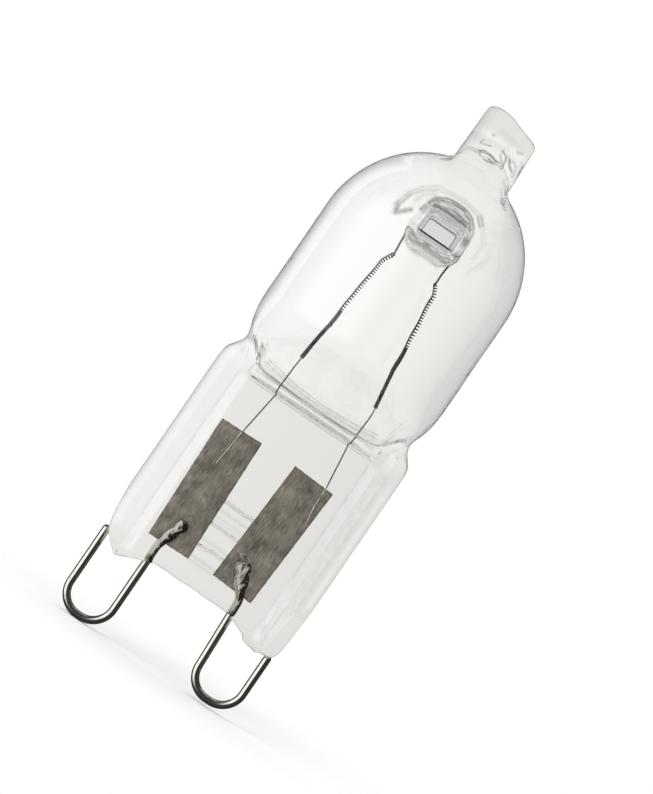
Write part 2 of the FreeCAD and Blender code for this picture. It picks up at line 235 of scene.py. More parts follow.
# Thin molybdenum wire, drawn: bright on one side like the pins; where it lies on the foil a painted
# highlight makes it pale.
leadMetal = metalMaterial("molybdenum wire, thin drawn", {
    "dark": "#6B675F", "pale": "#8B877E", "streakWidth": 0.04, "streakLength": 0.5, "grain": 0.05,
    "grainShare": 0.3, "roughest": 0.3, "smoothest": 0.2, "streakDepth": 0.001,
    "paintedShineAndShade": {"from": 16.5, "to": 16.1, "within": 5.0, "patchWidth": 0.1, "patchLength": 0.6, "lean": 0.3,
               "dark": "#7B776E", "pale": "#FAF8F3"}})
# Tungsten wire, drawn and coiled: nearly black with a dull shine.
coilMetal = metalMaterial("tungsten wire, drawn and coiled", {
    "dark": "#2A2723", "pale": "#46423C", "streakWidth": 0.05, "streakLength": 0.3, "grain": 0.05,
    "grainShare": 0.3, "roughest": 0.45, "smoothest": 0.35, "streakDepth": 0.001})
print("materials: quartz, foil, pin wire, lead wire, tungsten")


def softMin(a, b, k):
    h = np.clip(0.5 + 0.5 * (b - a) / k, 0, 1)
    return mix(b, a, h) - k * h * (1 - h)


def softMax(a, b, k):
    return -softMin(-a, -b, k)


def eased(at, places, values, spread):
    # a run of straight lines with its corners softened
    shifts = (-1, -0.5, 0, 0.5, 1)
    return sum(np.interp(at + shift * spread, places, values) for shift in shifts) / len(shifts)


def nearLine(x, z, start, end, width):
    # 1 on a short line seen from the front, falling to 0 beside it
    along = np.subtract(end, start)
    share = np.clip(((x - start[0]) * along[0] + (z - start[1]) * along[1]) / (along @ along), 0, 1)
    away = np.hypot(x - start[0] - share * along[0], z - start[1] - share * along[1])
    return np.exp(-(away / width) ** 2)


def roundedBox(u, v, halfU, halfV, radius):
    # distance to a rounded rectangle, below zero inside
    du = np.abs(u) - halfU + radius
    dv = np.abs(v) - halfV + radius
    outside = np.hypot(np.maximum(du, 0), np.maximum(dv, 0))
    return outside + np.minimum(np.maximum(du, dv), 0) - radius


# The envelope is worked out as a distance field, so that tube, seal, tip and dimples flow into each
# other as blown glass does.
quartzLow, quartzHigh = boxOf("quartz_envelope")
quartz = {                   # a hair inside the solid's box
    "radius": quartzHigh[1] - 0.02, "sealHalf": quartzHigh[0] - 0.04, "top": quartzHigh[2] - 0.02,
    "wall": 1.0,
    "domeFoot": 31.52, "domeTop": 38.87,
    "neckTop": 24.9, "neckFoot": 19.5,   # the tube flattens between these levels
    "grid": 0.355, "margin": 0.82,       # mm, spacing of the first net and room round it
    "gasLow": (-7, -7, 19.0), "gasHigh": (7, 7, 41.4),    # the box that holds the gas space
    "domeSteep": 6,                      # mm, about the inner height of the dome
    "waveShift": 3,                      # mm, so that the inner skin waves differently
}
neck = {                     # half widths seen from the front, from the seal up to the round bulb
    "z": [19.0, 19.5, 20.0, 20.4, 20.7, 21.1, 21.5, 22.0, 22.6, 23.4, 24.3],
    "outer": [7.23, 7.22, 7.14, 6.95, 6.7, 6.47, 6.4, 6.5, 6.74, 6.92, 6.98],
    "gas": [4.8, 4.85, 4.9, 4.95, 5.05, 5.25, 5.5, 5.8, 6.0, 6.0, 5.98],
    "floor": 20.27, "floorSag": 0.25, "sagTilt": 0.2, "floorHalf": 4.8, "floorTilt": 0.25, "halfDepth": 1.9,
    "shrink": 0.3, "shrinkTop": 21.3, "shrinkFade": 1.2,    # the tube shrinks behind the ribs
    # painted shade: fine dark lines across its front: two ends of each, width and depth
    "paintedShadeLines": [((-4.3, 20.95), (-2.2, 20.62), 0.05, 0.7), ((-2.2, 20.62), (0.2, 20.48), 0.05, 0.7),
               ((0.2, 20.48), (2.4, 20.62), 0.05, 0.7), ((2.4, 20.62), (4.2, 20.9), 0.05, 0.7),
               ((-4.3, 20.75), (-0.5, 20.32), 0.05, 0.4), ((-0.5, 20.32), (4.2, 20.68), 0.05, 0.4),
               ((-4.75, 20.9), (-4.95, 21.8), 0.07, 0.6), ((-4.6, 20.9), (-4.8, 21.6), 0.05, 0.4),
               ((4.7, 20.7), (5.1, 22.4), 0.06, 0.35), ((-4.6, 19.95), (-3.3, 19.9), 0.1, 0.5),
               ((-4.5, 20.15), (-2.2, 20.05), 0.07, 0.5), ((4.0, 19.95), (4.5, 19.95), 0.09, 0.5),
               ((5.3, 20.5), (6.2, 21.3), 0.45, 0.14)],
    # folds of the squeezed wall: two ends of each, width and depth
    "folds": [((4.75, 20.5), (6.4, 22.9), 0.09, 0.05), ((4.8, 20.6), (5.05, 22.5), 0.08, 0.03),
              ((-4.8, 20.6), (-4.9, 21.7), 0.08, 0.05), ((-4.8, 20.6), (-6.1, 22.4), 0.09, 0.03)],
}
seal = {
    "webHalf": 1.15, "top": 21.3, "faceSlope": 0.85, "footSlope": 0.75,    # slopes keep distances true
    "across": [4.85, 5.4, 6.1, 7.3], "half": [1.15, 1.52, 1.88, 1.88],     # web, flank and rib
    "jawEdge": 19.4, "jawFade": 0.22, "jawStep": 0.08,    # the press ended at this level
    # lower outline seen from the front
    "x": [-7.3, -7.05, -6.9, -6.7, -6.3, -5.9, -5.5, -5.0, -4.4, -3.3, -2.9, -2.0, -1.0, 0.0, 1.0, 2.0, 2.9,
          3.2, 3.8, 4.35, 4.45, 5.1, 5.7, 5.85, 6.2, 6.5, 6.75, 6.95, 7.08, 7.2],
    "z": [9.6, 7.5, 6.6, 6.05, 5.6, 5.22, 4.86, 5.06, 5.33, 5.74, 5.86, 5.9, 5.85, 5.93, 5.88, 5.9, 5.86,
          5.72, 5.47, 5.27, 4.98, 4.87, 4.8, 4.95, 4.97, 5.0, 5.12, 5.45, 6.2, 9.6],
    "footTop": 7.0, "footLow": 4.9, "footShare": 0.45,    # the ribs thin out between these levels
    # press marks across the back of the web: level and depth
    "marks": [(11.7, 0.2), (11.1, 0.1), (10.6, 0.08), (10.35, 0.05), (10.05, 0.17), (8.9, 0.08),
              (8.46, 0.19), (7.6, 0.1), (7.3, 0.08)],
    "markWidth": 0.08, "marksFrom": -1.9, "marksTo": 1.1, "markFade": 0.5,
    # painted highlight: lighter strips along the ribs: left, right, low, high and share
    "paintedHighlightStrips": [(-5.5, -4.8, 5.4, 19.4, 1.0), (4.9, 5.62, 5.2, 19.3, 1.0), (5.62, 5.88, 5.4, 8.4, 1.0),
               (6.6, 6.9, 8.8, 18.8, 0.8), (-7.1, -5.5, 6.5, 20.5, 0.4)],
    # painted shade: fine dark lines in the front: two ends of each, width and depth
    "paintedShadeLines": [((-5.54, 8.0), (-5.52, 19.2), 0.06, 0.22), ((4.9, 10.2), (4.88, 18.9), 0.06, 0.5),
               ((-4.7, 19.48), (-1.5, 19.44), 0.06, 1.0), ((-1.5, 19.44), (3.4, 19.5), 0.06, 1.0),
               ((3.9, 19.6), (4.75, 19.3), 0.06, 0.5), ((6.1, 8.9), (6.1, 18.8), 0.4, 0.3),
               ((5.65, 8.8), (5.62, 18.9), 0.06, 0.12)],
    # dents of the press in the ribs: two ends of each, width and depth
    "dents": [((5.75, 5.5), (5.75, 8.2), 0.1, 0.05), ((6.2, 8.3), (6.6, 8.5), 0.12, 0.05),
              ((6.2, 8.3), (6.0, 7.3), 0.12, 0.04), ((6.6, 8.5), (6.75, 7.0), 0.12, 0.04),
              ((-6.8, 8.4), (-6.3, 8.5), 0.1, 0.04), ((-6.3, 8.5), (-6.0, 8.1), 0.1, 0.04),
              ((-6.0, 8.1), (-5.95, 7.0), 0.1, 0.03), ((6.75, 9.0), (6.8, 17.5), 0.12, 0.03)],
}
tip = {
    "offset": 0.22, "halfWidth": 2.2, "narrowing": 0.2, "foot": 36.6,
    "footPower": 2.0, "topPower": 2.5,   # round at the foot, squarer at the top
    "depthZ": [36.8, 37.3, 37.8, 38.3, 38.8, 39.3, 39.8, 40.4, 41.0, 42.0, 43.0],
    "depth": [4.45, 3.95, 3.45, 2.98, 2.6, 2.27, 2.0, 1.72, 1.5, 1.2, 0.9],
    # the stem of the gas space, where the filling tube was squeezed shut: half width and half depth
    "stemZ": [36.5, 37.0, 37.5, 38.0, 38.4, 38.8, 39.1, 39.4],
    "stemWidth": [3.9, 3.4, 2.8, 2.1, 1.65, 1.35, 1.15, 1.0],
    "stemDepth": [3.6, 3.1, 2.5, 1.85, 1.3, 0.8, 0.4, 0.08],
    "stemLean": 0.5, "leanFrom": 37, "leanFade": 2, "stemSlope": 0.75,
    "topX": [-2.2, -1.4, -0.7, 0.0, 0.5, 1.0, 1.8, 2.4],
    "topZ": [42.95, 42.98, 42.98, 42.85, 42.65, 42.5, 42.35, 42.3],
    # wrinkles left where the tube was pinched off: two ends of each, width and depth
    "wrinkles": [((1.0, 41.4), (1.9, 40.8), 0.11, 0.09), ((0.8, 40.9), (1.7, 40.1), 0.11, 0.1),
                 ((1.1, 40.6), (1.9, 40.5), 0.08, 0.07), ((0.6, 40.4), (1.3, 39.7), 0.12, 0.08),
                 ((-1.0, 40.6), (0.6, 41.0), 0.4, 0.1), ((-0.9, 40.35), (-0.3, 40.5), 0.1, 0.06)],
    # painted shade: fine dark lines beside them and over the bubble: two ends of each, width and depth
    "paintedShadeLines": [((-0.69, 39.75), (-0.48, 39.93), 0.1, 1.0), ((-0.48, 39.93), (0.07, 39.92), 0.08, 1.0),
               ((0.07, 39.92), (0.59, 39.75), 0.08, 1.0), ((0.1, 39.6), (0.37, 39.58), 0.08, 1.0),
               ((0.55, 40.6), (0.95, 40.42), 0.1, 0.9), ((0.95, 40.42), (1.05, 40.1), 0.1, 1.0),
               ((1.05, 40.1), (1.12, 39.6), 0.09, 0.8), ((1.2, 40.42), (1.45, 40.03), 0.1, 1.0),
               ((1.45, 40.03), (1.78, 39.82), 0.1, 1.0), ((1.42, 40.46), (1.85, 40.26), 0.09, 0.7),
               ((1.38, 41.08), (1.7, 41.22), 0.1, 0.6), ((-0.98, 40.3), (-0.88, 40.5), 0.08, 0.7),
               ((-0.56, 41.15), (-0.5, 41.15), 0.1, 0.8), ((1.92, 40.1), (1.98, 39.6), 0.16, 0.5),
               ((-0.1, 41.65), (1.0, 41.5), 0.25, 0.16)],
    # painted highlight: lighter patches: left, right, low, high and share
    "paintedHighlightStrips": [(-0.7, 0.65, 39.2, 40.3, 1.0), (0.6, 1.95, 39.2, 41.4, 0.8), (-1.0, 0.6, 40.6, 41.5, 0.7)],
}
dimple = {
    "x": 0.12, "netZ": 34.2, "floorDepth": 0.5, "shaftDepth": 2.4, "wallSlope": 0.8,
    # middle x and z, half width and half height
    "floor": (0.15, 33.95, 1.28, 0.8), "shaft": (0.15, 33.85, 1.3, 1.0), "mouth": (0.1, 34.4, 2.8, 1.8),
    "bridge": (0.17, 34.06, 1.5, 1.6),
    "floorRound": 0.4, "shaftRound": 0.45, "mouthRound": 1.8, "bridgeRound": 0.5, "archRound": 1.4,
    "flare": 18.0, "flareMost": 1.08,    # power by which the dimples widen at their mouths
    # painted shade: fine dark lines round the front dimple: two ends of each, width and depth
    "paintedShadeLines": [((-2.1, 33.85), (-2.85, 33.1), 0.12, 0.8), ((-2.9, 33.15), (-2.95, 33.7), 0.12, 0.9),
               ((-2.95, 33.7), (-2.7, 34.7), 0.1, 0.7), ((-2.7, 34.7), (-2.2, 35.4), 0.1, 0.5),
               ((-2.2, 35.4), (-1.4, 35.95), 0.1, 0.4), ((-1.4, 35.95), (0.2, 36.15), 0.1, 0.3),
               ((0.2, 36.15), (1.5, 35.95), 0.1, 0.35), ((1.6, 35.9), (2.05, 35.45), 0.1, 0.8),
               ((2.2, 35.35), (2.8, 34.6), 0.1, 0.25), ((2.8, 34.6), (2.75, 33.5), 0.1, 0.2),
               ((3.2, 35.0), (3.5, 33.9), 0.12, 0.15), ((3.5, 33.9), (3.0, 32.5), 0.12, 0.15),
               ((-2.2, 34.4), (-2.0, 35.1), 0.14, 0.25), ((-2.0, 35.1), (-1.4, 35.55), 0.14, 0.25),
               ((-1.45, 34.85), (-1.25, 35.25), 0.09, 0.8), ((-1.25, 35.25), (-0.6, 35.6), 0.09, 0.9),
               ((-0.6, 35.6), (0.6, 35.72), 0.09, 0.9), ((0.6, 35.72), (1.3, 35.42), 0.09, 0.9),
               ((1.3, 35.42), (1.65, 34.9), 0.09, 0.8), ((-0.85, 35.05), (0.1, 35.35), 0.09, 0.9),
               ((0.1, 35.35), (1.25, 35.15), 0.1, 1.0),
               ((-1.25, 32.65), (-0.7, 32.4), 0.07, 0.8), ((-0.7, 32.4), (1.1, 32.42), 0.07, 0.8),
               ((1.1, 32.42), (1.6, 32.65), 0.07, 0.8)],
}


# mm, how softly two forms run into each other
blend = {
    "tubeFoot": 0.25, "tubeSeal": 0.4, "sealSide": 0.9, "sealFoot": 0.3, "sealTop": 1.2, "widest": 0.1,
    "tipTop": 0.5, "tipFoot": 0.3, "tipSide": 0.12, "tipFace": 1.1, "tipFaceFrom": 0.5, "tipFaceFade": 1.5,
    "pitFloor": 0.22, "pitMouth": 0.25,
    "gasFloor": 0.35, "stemFoot": 0.5, "stemTop": 0.1, "gasStem": 0.6, "gasBridge": 0.3,
}
# mm, how far the corners of an outline are softened
ease = {"neck": 0.25, "rib": 0.1, "foot": 0.07, "tipDepth": 0.35, "tipTop": 0.3, "gas": 0.3, "stem": 0.25}
# mm, slow and quick unevenness of hand-finished glass, strongest at the neck
unevenness = {"slow": 0.006, "quick": 0.003, "atNeck": 0.01, "neck": 21.2, "neckReach": 1.6}


def depthOf(z):
    # half depth of the flattening tube, and how steeply it changes
    tall = quartz["neckTop"] - quartz["neckFoot"]
    down = np.clip((quartz["neckTop"] - z) / tall, 0, 1)
    change = quartz["radius"] - neck["halfDepth"]
    return quartz["radius"] - change * smooth(down), change * 6 * down * (1 - down) / tall


def tubeField(x, y, z):
    halfX = np.minimum(eased(z, neck["z"], neck["outer"], ease["neck"]), quartz["radius"])
    # the ribs make the outline below the neck
    halfX = halfX - neck["shrink"] * smooth((neck["shrinkTop"] - z) / neck["shrinkFade"])
    halfY = depthOf(z)[0]
    up = np.maximum(z - quartz["domeFoot"], 0) / (quartz["domeTop"] - quartz["domeFoot"])
    around = np.sqrt((x / halfX) ** 2 + (y / halfY) ** 2 + up ** 2)
    return softMax((around - 1) * np.minimum(halfX, halfY), quartz["neckFoot"] - z, blend["tubeFoot"])


def betweenFoils(x, y):
    # 1 where the press marks are, on the back of the web
    fade = seal["markFade"]
    return smooth((x - seal["marksFrom"]) / fade) * smooth((seal["marksTo"] - x) / fade) * (y > 0)


def sealField(x, y, z):
    # sums of sines make the pressed edges waver
    wander = 0.02 * np.sin(1.9 * z + x) + 0.012 * np.sin(4.7 * z)
    foot = smooth((z - seal["footLow"]) / (seal["footTop"] - seal["footLow"]))
    half = eased(np.abs(x) + wander, seal["across"], seal["half"], ease["rib"])
    half = mix(seal["webHalf"], half, mix(seal["footShare"], 1, foot))
    edge = seal["jawEdge"] + 0.03 * np.sin(4.3 * x) + 0.02 * np.sin(11 * x + 1)
    half = np.maximum(half, seal["webHalf"] + seal["jawStep"] * smooth((z - edge) / seal["jawFade"]))
    between = betweenFoils(x, y)
    for level, depth in seal["marks"]:
        line = level + 0.03 * np.sin(3.1 * x + level) + 0.02 * np.sin(9 * x + 2 * level)
        broken = 0.9 + 0.1 * np.sin(13 * x + 5 * level)
        half = half - between * broken * depth * np.exp(-((z - line) / seal["markWidth"]) ** 2)
    for start, end, width, depth in seal["dents"]:
        half = half - depth * nearLine(x, z, start, end, width)
    faces = (np.abs(y) - half) * seal["faceSlope"]
    sides = np.abs(x) - eased(z, neck["z"], neck["outer"], ease["neck"])
    under = (eased(x, seal["x"], seal["z"], ease["foot"]) - z) * seal["footSlope"]
    body = softMax(faces, sides, blend["sealSide"])
    body = softMax(body, under, blend["sealFoot"])
    return softMax(body, z - seal["top"], blend["sealTop"])


def tipField(x, y, z):
    share = np.clip((z - tip["foot"]) / (quartz["top"] - tip["foot"]), 0, 1)
    halfX = tip["halfWidth"] - tip["narrowing"] * share
    halfY = eased(z, tip["depthZ"], tip["depth"], ease["tipDepth"])
    for start, end, width, depth in tip["wrinkles"]:
        halfY = halfY - depth * nearLine(x, z, start, end, width) * (y < 0)
    power = mix(tip["footPower"], tip["topPower"], share)
    u = np.abs((x - tip["offset"]) / halfX)
    v = np.abs(y / halfY)
    sides = ((u ** power + v ** power) ** (1 / power) - 1) * np.minimum(halfX, halfY)
    over = z - eased(x, tip["topX"], tip["topZ"], ease["tipTop"])
    return softMax(softMax(sides, over, blend["tipTop"]), tip["foot"] - z, blend["tipFoot"])


def flareOf(y):
    return np.clip(np.abs(y) / quartz["radius"], 0, dimple["flareMost"]) ** dimple["flare"]


def pitField(x, y, z):
    depth = np.abs(y)
    shaft = smooth((depth - dimple["floorDepth"]) / (dimple["shaftDepth"] - dimple["floorDepth"]))
    flare = flareOf(y)
    stages = zip(dimple["floor"], dimple["shaft"], dimple["mouth"])
    midX, midZ, halfX, halfZ = [mix(mix(a, b, shaft), c, flare) for a, b, c in stages]
    corner = mix(mix(dimple["floorRound"], dimple["shaftRound"], shaft), dimple["mouthRound"], flare)
    sides = dimple["wallSlope"] * roundedBox(x - midX, z - midZ, halfX, halfZ, corner)
    return softMax(sides, dimple["floorDepth"] - depth, blend["pitFloor"])


def bridgeField(x, y, z):
    # round above like an arch, squarer below
    flare = flareOf(y)
    wall = np.array([0, 0, quartz["wall"], quartz["wall"]])
    stages = zip(dimple["bridge"], dimple["mouth"] + wall)
    midX, midZ, halfX, halfZ = [mix(a, b, flare) for a, b in stages]
    corner = np.where(z > midZ, dimple["archRound"], dimple["bridgeRound"])
    corner = mix(corner, dimple["mouthRound"], flare)
    return dimple["wallSlope"] * roundedBox(x - midX, z - midZ, halfX, halfZ, corner)


def waves(x, y, z):
    slow = np.sin(0.9 * x + 0.5 * z + 0.4) * np.sin(0.8 * y - 0.35 * z)
    slow = slow + 0.6 * np.sin(1.7 * z - 0.6 * x + 1.9)
    quick = np.sin(2.3 * x + 1.1 * z) * np.sin(1.9 * y + 2.1 * z + 0.7)
    atNeck = np.exp(-((z - unevenness["neck"]) / unevenness["neckReach"]) ** 2)
    return unevenness["slow"] * slow + (unevenness["quick"] + unevenness["atNeck"] * atNeck) * quick


def outerField(x, y, z):
    body = softMin(tubeField(x, y, z), sealField(x, y, z), blend["tubeSeal"])
    onFace = smooth((np.abs(y) - blend["tipFaceFrom"]) / blend["tipFaceFade"])
    body = softMin(body, tipField(x, y, z), blend["tipSide"] + blend["tipFace"] * onFace)
    body = softMax(body, np.abs(x) - quartz["sealHalf"], blend["widest"])
    return softMax(body, -pitField(x, y, z), blend["pitMouth"]) + waves(x, y, z)


def gasField(x, y, z):
    wall = quartz["wall"]
    depthwise = np.clip(y, -1, 1)
    sag = neck["floorSag"] + neck["sagTilt"] * depthwise
    floor = neck["floor"] + sag * (x / neck["floorHalf"]) ** 2 + neck["floorTilt"] * depthwise
    halfX = eased(z, neck["z"], neck["gas"], ease["gas"])
    depth, slope = depthOf(z)
    halfY = depth - wall * np.sqrt(1 + slope ** 2)
    up = np.maximum(z - quartz["domeFoot"], 0) / (quartz["domeTop"] - wall - quartz["domeFoot"])
    around = np.sqrt((x / halfX) ** 2 + (y / halfY) ** 2 + up ** 2)
    steep = np.sqrt((x / halfX ** 2) ** 2 + (y / halfY ** 2) ** 2 + (up / quartz["domeSteep"]) ** 2)
    hollow = (around - 1) * around / np.maximum(steep, 1e-6)
    hollow = softMax(hollow, floor - z, blend["gasFloor"])
    for start, end, width, deep in neck["folds"]:
        hollow = hollow + deep * nearLine(x, z, start, end, width)
    wide = eased(z, tip["stemZ"], tip["stemWidth"], ease["stem"])
    deep = eased(z, tip["stemZ"], tip["stemDepth"], ease["stem"])
    aside = x - tip["offset"] * tip["stemLean"] * smooth((z - tip["leanFrom"]) / tip["leanFade"])
    stem = tip["stemSlope"] * (np.sqrt((aside / wide) ** 2 + (y / deep) ** 2) - 1) * np.minimum(wide, deep)
    stem = softMax(stem, tip["stemZ"][0] - z, blend["stemFoot"])
    stem = softMax(stem, z - tip["stemZ"][-1], blend["stemTop"])
    hollow = softMin(hollow, stem, blend["gasStem"])
    return softMax(hollow, -bridgeField(x, y, z), blend["gasBridge"]) + waves(x + quartz["waveShift"], y, z)


def slopeOf(field, points):
    step = 0.01
    slope = np.empty_like(points)
    for axis in range(3):
        shift = np.zeros(3)
        shift[axis] = step
        slope[:, axis] = field(*(points + shift).T) - field(*(points - shift).T)
    return slope / (2 * step)


def normalsOf(field, points):
    slope = slopeOf(field, points)
    return slope / np.linalg.norm(slope, axis=1, keepdims=True)


def settle(field, points, rounds):
    # moves points onto the surface, a short way at a time
    longest = 0.15       # mm
    leastSteep = 0.05
    for _ in range(rounds):
        slope = slopeOf(field, points)
        steep = np.maximum((slope ** 2).sum(1), leastSteep)
        move = -(field(*points.T) / steep)[:, None] * slope
        length = np.linalg.norm(move, axis=1, keepdims=True)
        points = points + move * np.minimum(1, longest / np.maximum(length, 1e-9))
    return points


def relax(field, points, faces, rounds):
    # spreads points evenly along the surface, so that faces don't fold over
    pull = 0.5           # share of the way to the middle of a point's neighbours
    pairs = np.array([(a, b) for face in faces for a, b in zip(face, [*face[1:], face[0]])])
    here, there = pairs.T
    count = np.bincount(here, minlength=len(points))
    normals = normalsOf(field, points)
    for _ in range(rounds):
        around = [np.bincount(here, points[there, axis], len(points)) / count for axis in range(3)]
        move = np.stack(around, 1) - points
        move = move - (move * normals).sum(1, keepdims=True) * normals
        points = points + pull * move
    return settle(field, points, 2)


def netOf(field, low, high, step):
    # a net of four-sided faces through the cells that the surface crosses
    axes = [np.arange(a, b + step, step) for a, b in zip(low, high)]
    value = field(*np.meshgrid(*axes, indexing="ij"))
    inside = value < 0
    cells = [s - 1 for s in inside.shape]
    count = np.zeros(cells, int)
    for i in (0, 1):
        for j in (0, 1):
            for k in (0, 1):
                count += inside[i:i + cells[0], j:j + cells[1], k:k + cells[2]]
    crossed = (count > 0) & (count < 8)
    number = np.full(cells, -1)
    number[crossed] = np.arange(crossed.sum())
    points = np.argwhere(crossed) * step + np.array(low) + step / 2
    faces = []
    for axis in range(3):
        u, v = (axis + 1) % 3, (axis + 2) % 3
        first = np.take(inside, range(cells[axis]), axis)
        second = np.take(inside, range(1, cells[axis] + 1), axis)
        for edges, turned in ((first & ~second, False), (~first & second, True)):
            at = np.argwhere(edges)
            stepU = np.eye(3, dtype=int)[u]
            stepV = np.eye(3, dtype=int)[v]
            around = ((1, 1), (0, 1), (0, 0), (1, 0))
            quad = np.stack([number[tuple((at - a * stepU - b * stepV).T)] for a, b in around], 1)
            faces.append(quad[:, ::-1] if turned else quad)
    return points, np.concatenate(faces)


def refine(points, faces, wanted):
    # splits the faces whose middles are wanted, and gives back the finer net
    mesh = bmesh.new()
    corners = [mesh.verts.new(p) for p in points]
    for face in faces:
        mesh.faces.new([corners[i] for i in face])
    mesh.faces.ensure_lookup_table()
    middles = np.array([f.calc_center_median() for f in mesh.faces])
    chosen = np.nonzero(wanted(*middles.T))[0]
    edges = {e for i in chosen for e in mesh.faces[i].edges}
    bmesh.ops.subdivide_edges(mesh, edges=list(edges), cuts=1, use_grid_fill=True)
    mesh.verts.index_update()
    points = np.array([v.co for v in mesh.verts])
    faces = [[v.index for v in f.verts] for f in mesh.faces]
    mesh.free()
    return points, faces


def joined(parts):
    # the points in metres and the faces of several parts, each of which begins with its points and faces
    points = np.concatenate([part[0] for part in parts]) * mm
    faces = []
    start = 0
    for part in parts:
        faces += [[i + start for i in face] for face in part[1]]
        start += len(part[0])
    return points, faces


def meshOf(name, skins):
    # one mesh of the outer skin, the gas space and the bubbles, each as points, faces and normals
    paintedRim = {"from": 0.75, "fade": 0.4, "share": 0.8}      # painted shade: bubbles darken where they turn away
    points, faces = joined(skins)
    normals = np.concatenate([skin[2] for skin in skins])
    mesh = bpy.data.meshes.new(name)
    mesh.from_pydata([tuple(p) for p in points], [], faces)
    mesh.polygons.foreach_set("use_smooth", [True] * len(mesh.polygons))
    mesh.normals_split_custom_set_from_vertices([tuple(n) for n in normals])
    number = np.arange(len(points))
    outside = number < len(skins[0][0])
    caught = number >= len(skins[0][0]) + len(skins[1][0])
    turned = smooth((paintedRim["from"] - np.abs(normals[:, 1])) / paintedRim["fade"])
    bend = np.where(caught, paintedRim["share"] * turned, paintedBendShadeOf(mesh, points / mm, normals))
    shares = {"bend": bend, "clean": cleanOf(*points.T / mm), "outside": outside.astype(float)}
    for label, values in shares.items():
        mesh.attributes.new(label, "FLOAT", "POINT").data.foreach_set("value", values)
    mesh.update()
    return mesh


def paintedBendShadeOf(mesh, points, normals):
    # painted shade: 0 where the glass is smooth, towards 1 along sharp bends, folds, painted dark lines,
    # press marks and the dimple floors
    look = {"from": 1.5, "to": 6.0,                       # 1/mm, the bends that get painted shade
            "onSeal": 0.1, "sealTop": 19.3, "onTip": 0.12, "tipFoot": 38.5, "fade": 0.8,
            "onPit": 0.45, "pitReach": 2.4, "pitDepth": 5,
            "onFloor": 0.28, "floorRound": 0.2, "floorOver": 0.05, "floorThick": 0.1,
            "onMarks": 3.2}
    pairs = np.empty(2 * len(mesh.edges), int)
    mesh.edges.foreach_get("vertices", pairs)
    first, second = pairs.reshape(-1, 2).T
    run = points[second] - points[first]
    turn = np.abs(((normals[second] - normals[first]) * run).sum(1)) / np.maximum((run ** 2).sum(1), 1e-6)
    most = np.zeros(len(points))
    np.maximum.at(most, first, turn)
    np.maximum.at(most, second, turn)
    x, y, z = points.T
    share = mix(look["onSeal"], 1, smooth((z - look["sealTop"]) / look["fade"]))
    share = mix(share, look["onTip"], smooth((z - look["tipFoot"]) / look["fade"]))
    share = share * smooth((most - look["from"]) / (look["to"] - look["from"]))
    away = np.hypot(x - dimple["x"], z - dimple["floor"][1])
    inPit = (away < look["pitReach"]) & (np.abs(y) < look["pitDepth"])
    share = np.where(inPit, look["onPit"] * share, share)
    wander = np.sin(7 * (x + z) + 3 * np.sin(2.3 * (x - z)))
    # how far each set of painted shade lines is broken up, and the y that it lies in front of
    paintedShadeLineSets = ((seal["paintedShadeLines"], 0.35, 0), (neck["paintedShadeLines"], 0.25, 0), (dimple["paintedShadeLines"], 0.0, -2.5),
              (tip["paintedShadeLines"], 0.0, -0.7))
    for paintedShadeLines, broken, front in paintedShadeLineSets:
        for start, end, width, depth in paintedShadeLines:
            line = nearLine(x, z, start, end, width) * (y < front)
            share = np.maximum(share, depth * line * (1 - broken + broken * wander))
    # painted shade along the press marks, which the seal also cuts into the glass
    between = betweenFoils(x, y)
    for level, depth in seal["marks"]:
        line = np.exp(-((z - level) / seal["markWidth"]) ** 2)
        share = np.maximum(share, look["onMarks"] * depth * between * line)
    # painted shade over the floors of the dimples
    window = roundedBox(x - dimple["x"], z - dimple["floor"][1], *dimple["floor"][2:], look["floorRound"])
    onFloor = (window < look["floorOver"]) & (np.abs(y) < dimple["floorDepth"] + look["floorThick"])
    return np.maximum(share, look["onFloor"] * onFloor)


def cleanOf(x, y, z):
    # painted highlight: how far the painted grey tone of seal and tip is lifted along the ribs and in the
    # tip
    fadeX = 0.12         # mm
    fadeZ = 0.5
    most = np.zeros(len(x))
    for left, right, low, high, share in seal["paintedHighlightStrips"] + tip["paintedHighlightStrips"]:
        inX = smooth((x - left) / fadeX) * smooth((right - x) / fadeX)
        inZ = smooth((z - low) / fadeZ) * smooth((high - z) / fadeZ)
        uneven = 0.85 + 0.15 * np.sin(2.1 * z + 3 * np.sin(0.9 * z + x))
        most = np.maximum(most, share * inX * inZ * uneven)
    return most


def addPiece(name, mesh, material, node):
    piece = bpy.data.objects.new(name, mesh)
    bpy.context.scene.collection.objects.link(piece)
    mesh.materials.clear()
    mesh.materials.append(material)
    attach(piece, "root")
    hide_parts(node)
    triangles = sum(len(p.vertices) - 2 for p in mesh.polygons)
    print("piece:", name, triangles, "triangles")
    return piece


def skin(field, low, high, inward, zones):
    points, faces = netOf(field, low, high, quartz["grid"])
    points = relax(field, settle(field, points, 8), faces, 4)
    for zone in zones:
        points, faces = refine(points, faces, zone)
        points = relax(field, settle(field, points, 4), faces, 4)
    normals = normalsOf(field, points)
    if inward:
        return points, [face[::-1] for face in faces], -normals
    return points, faces, normals


def within(value, limits):
    return (value > limits[0]) & (value < limits[1])


def fineZone(zone):
    # tells which faces of a net are wanted finer
    def wanted(x, y, z):
        away = np.hypot(x - dimple["x"], z - dimple["netZ"])
        chosen = np.zeros(len(x), bool)
        for reach, depth in zone["pits"]:
            chosen |= (away < reach) & within(y, depth)
        for width, depth, height in zone["boxes"]:
            chosen |= within(np.abs(x), width) & within(y, depth) & within(z, height)
        for width, depth, height in zone.get("marks", []):
            chosen |= within(x, width) & within(y, depth) & within(z, height)
        return chosen
    return wanted


least, most = -math.inf, math.inf
whole = (least, most)
marksBox = ((seal["marksFrom"], seal["marksTo"]), (0.7, most), (7.2, 12.1))
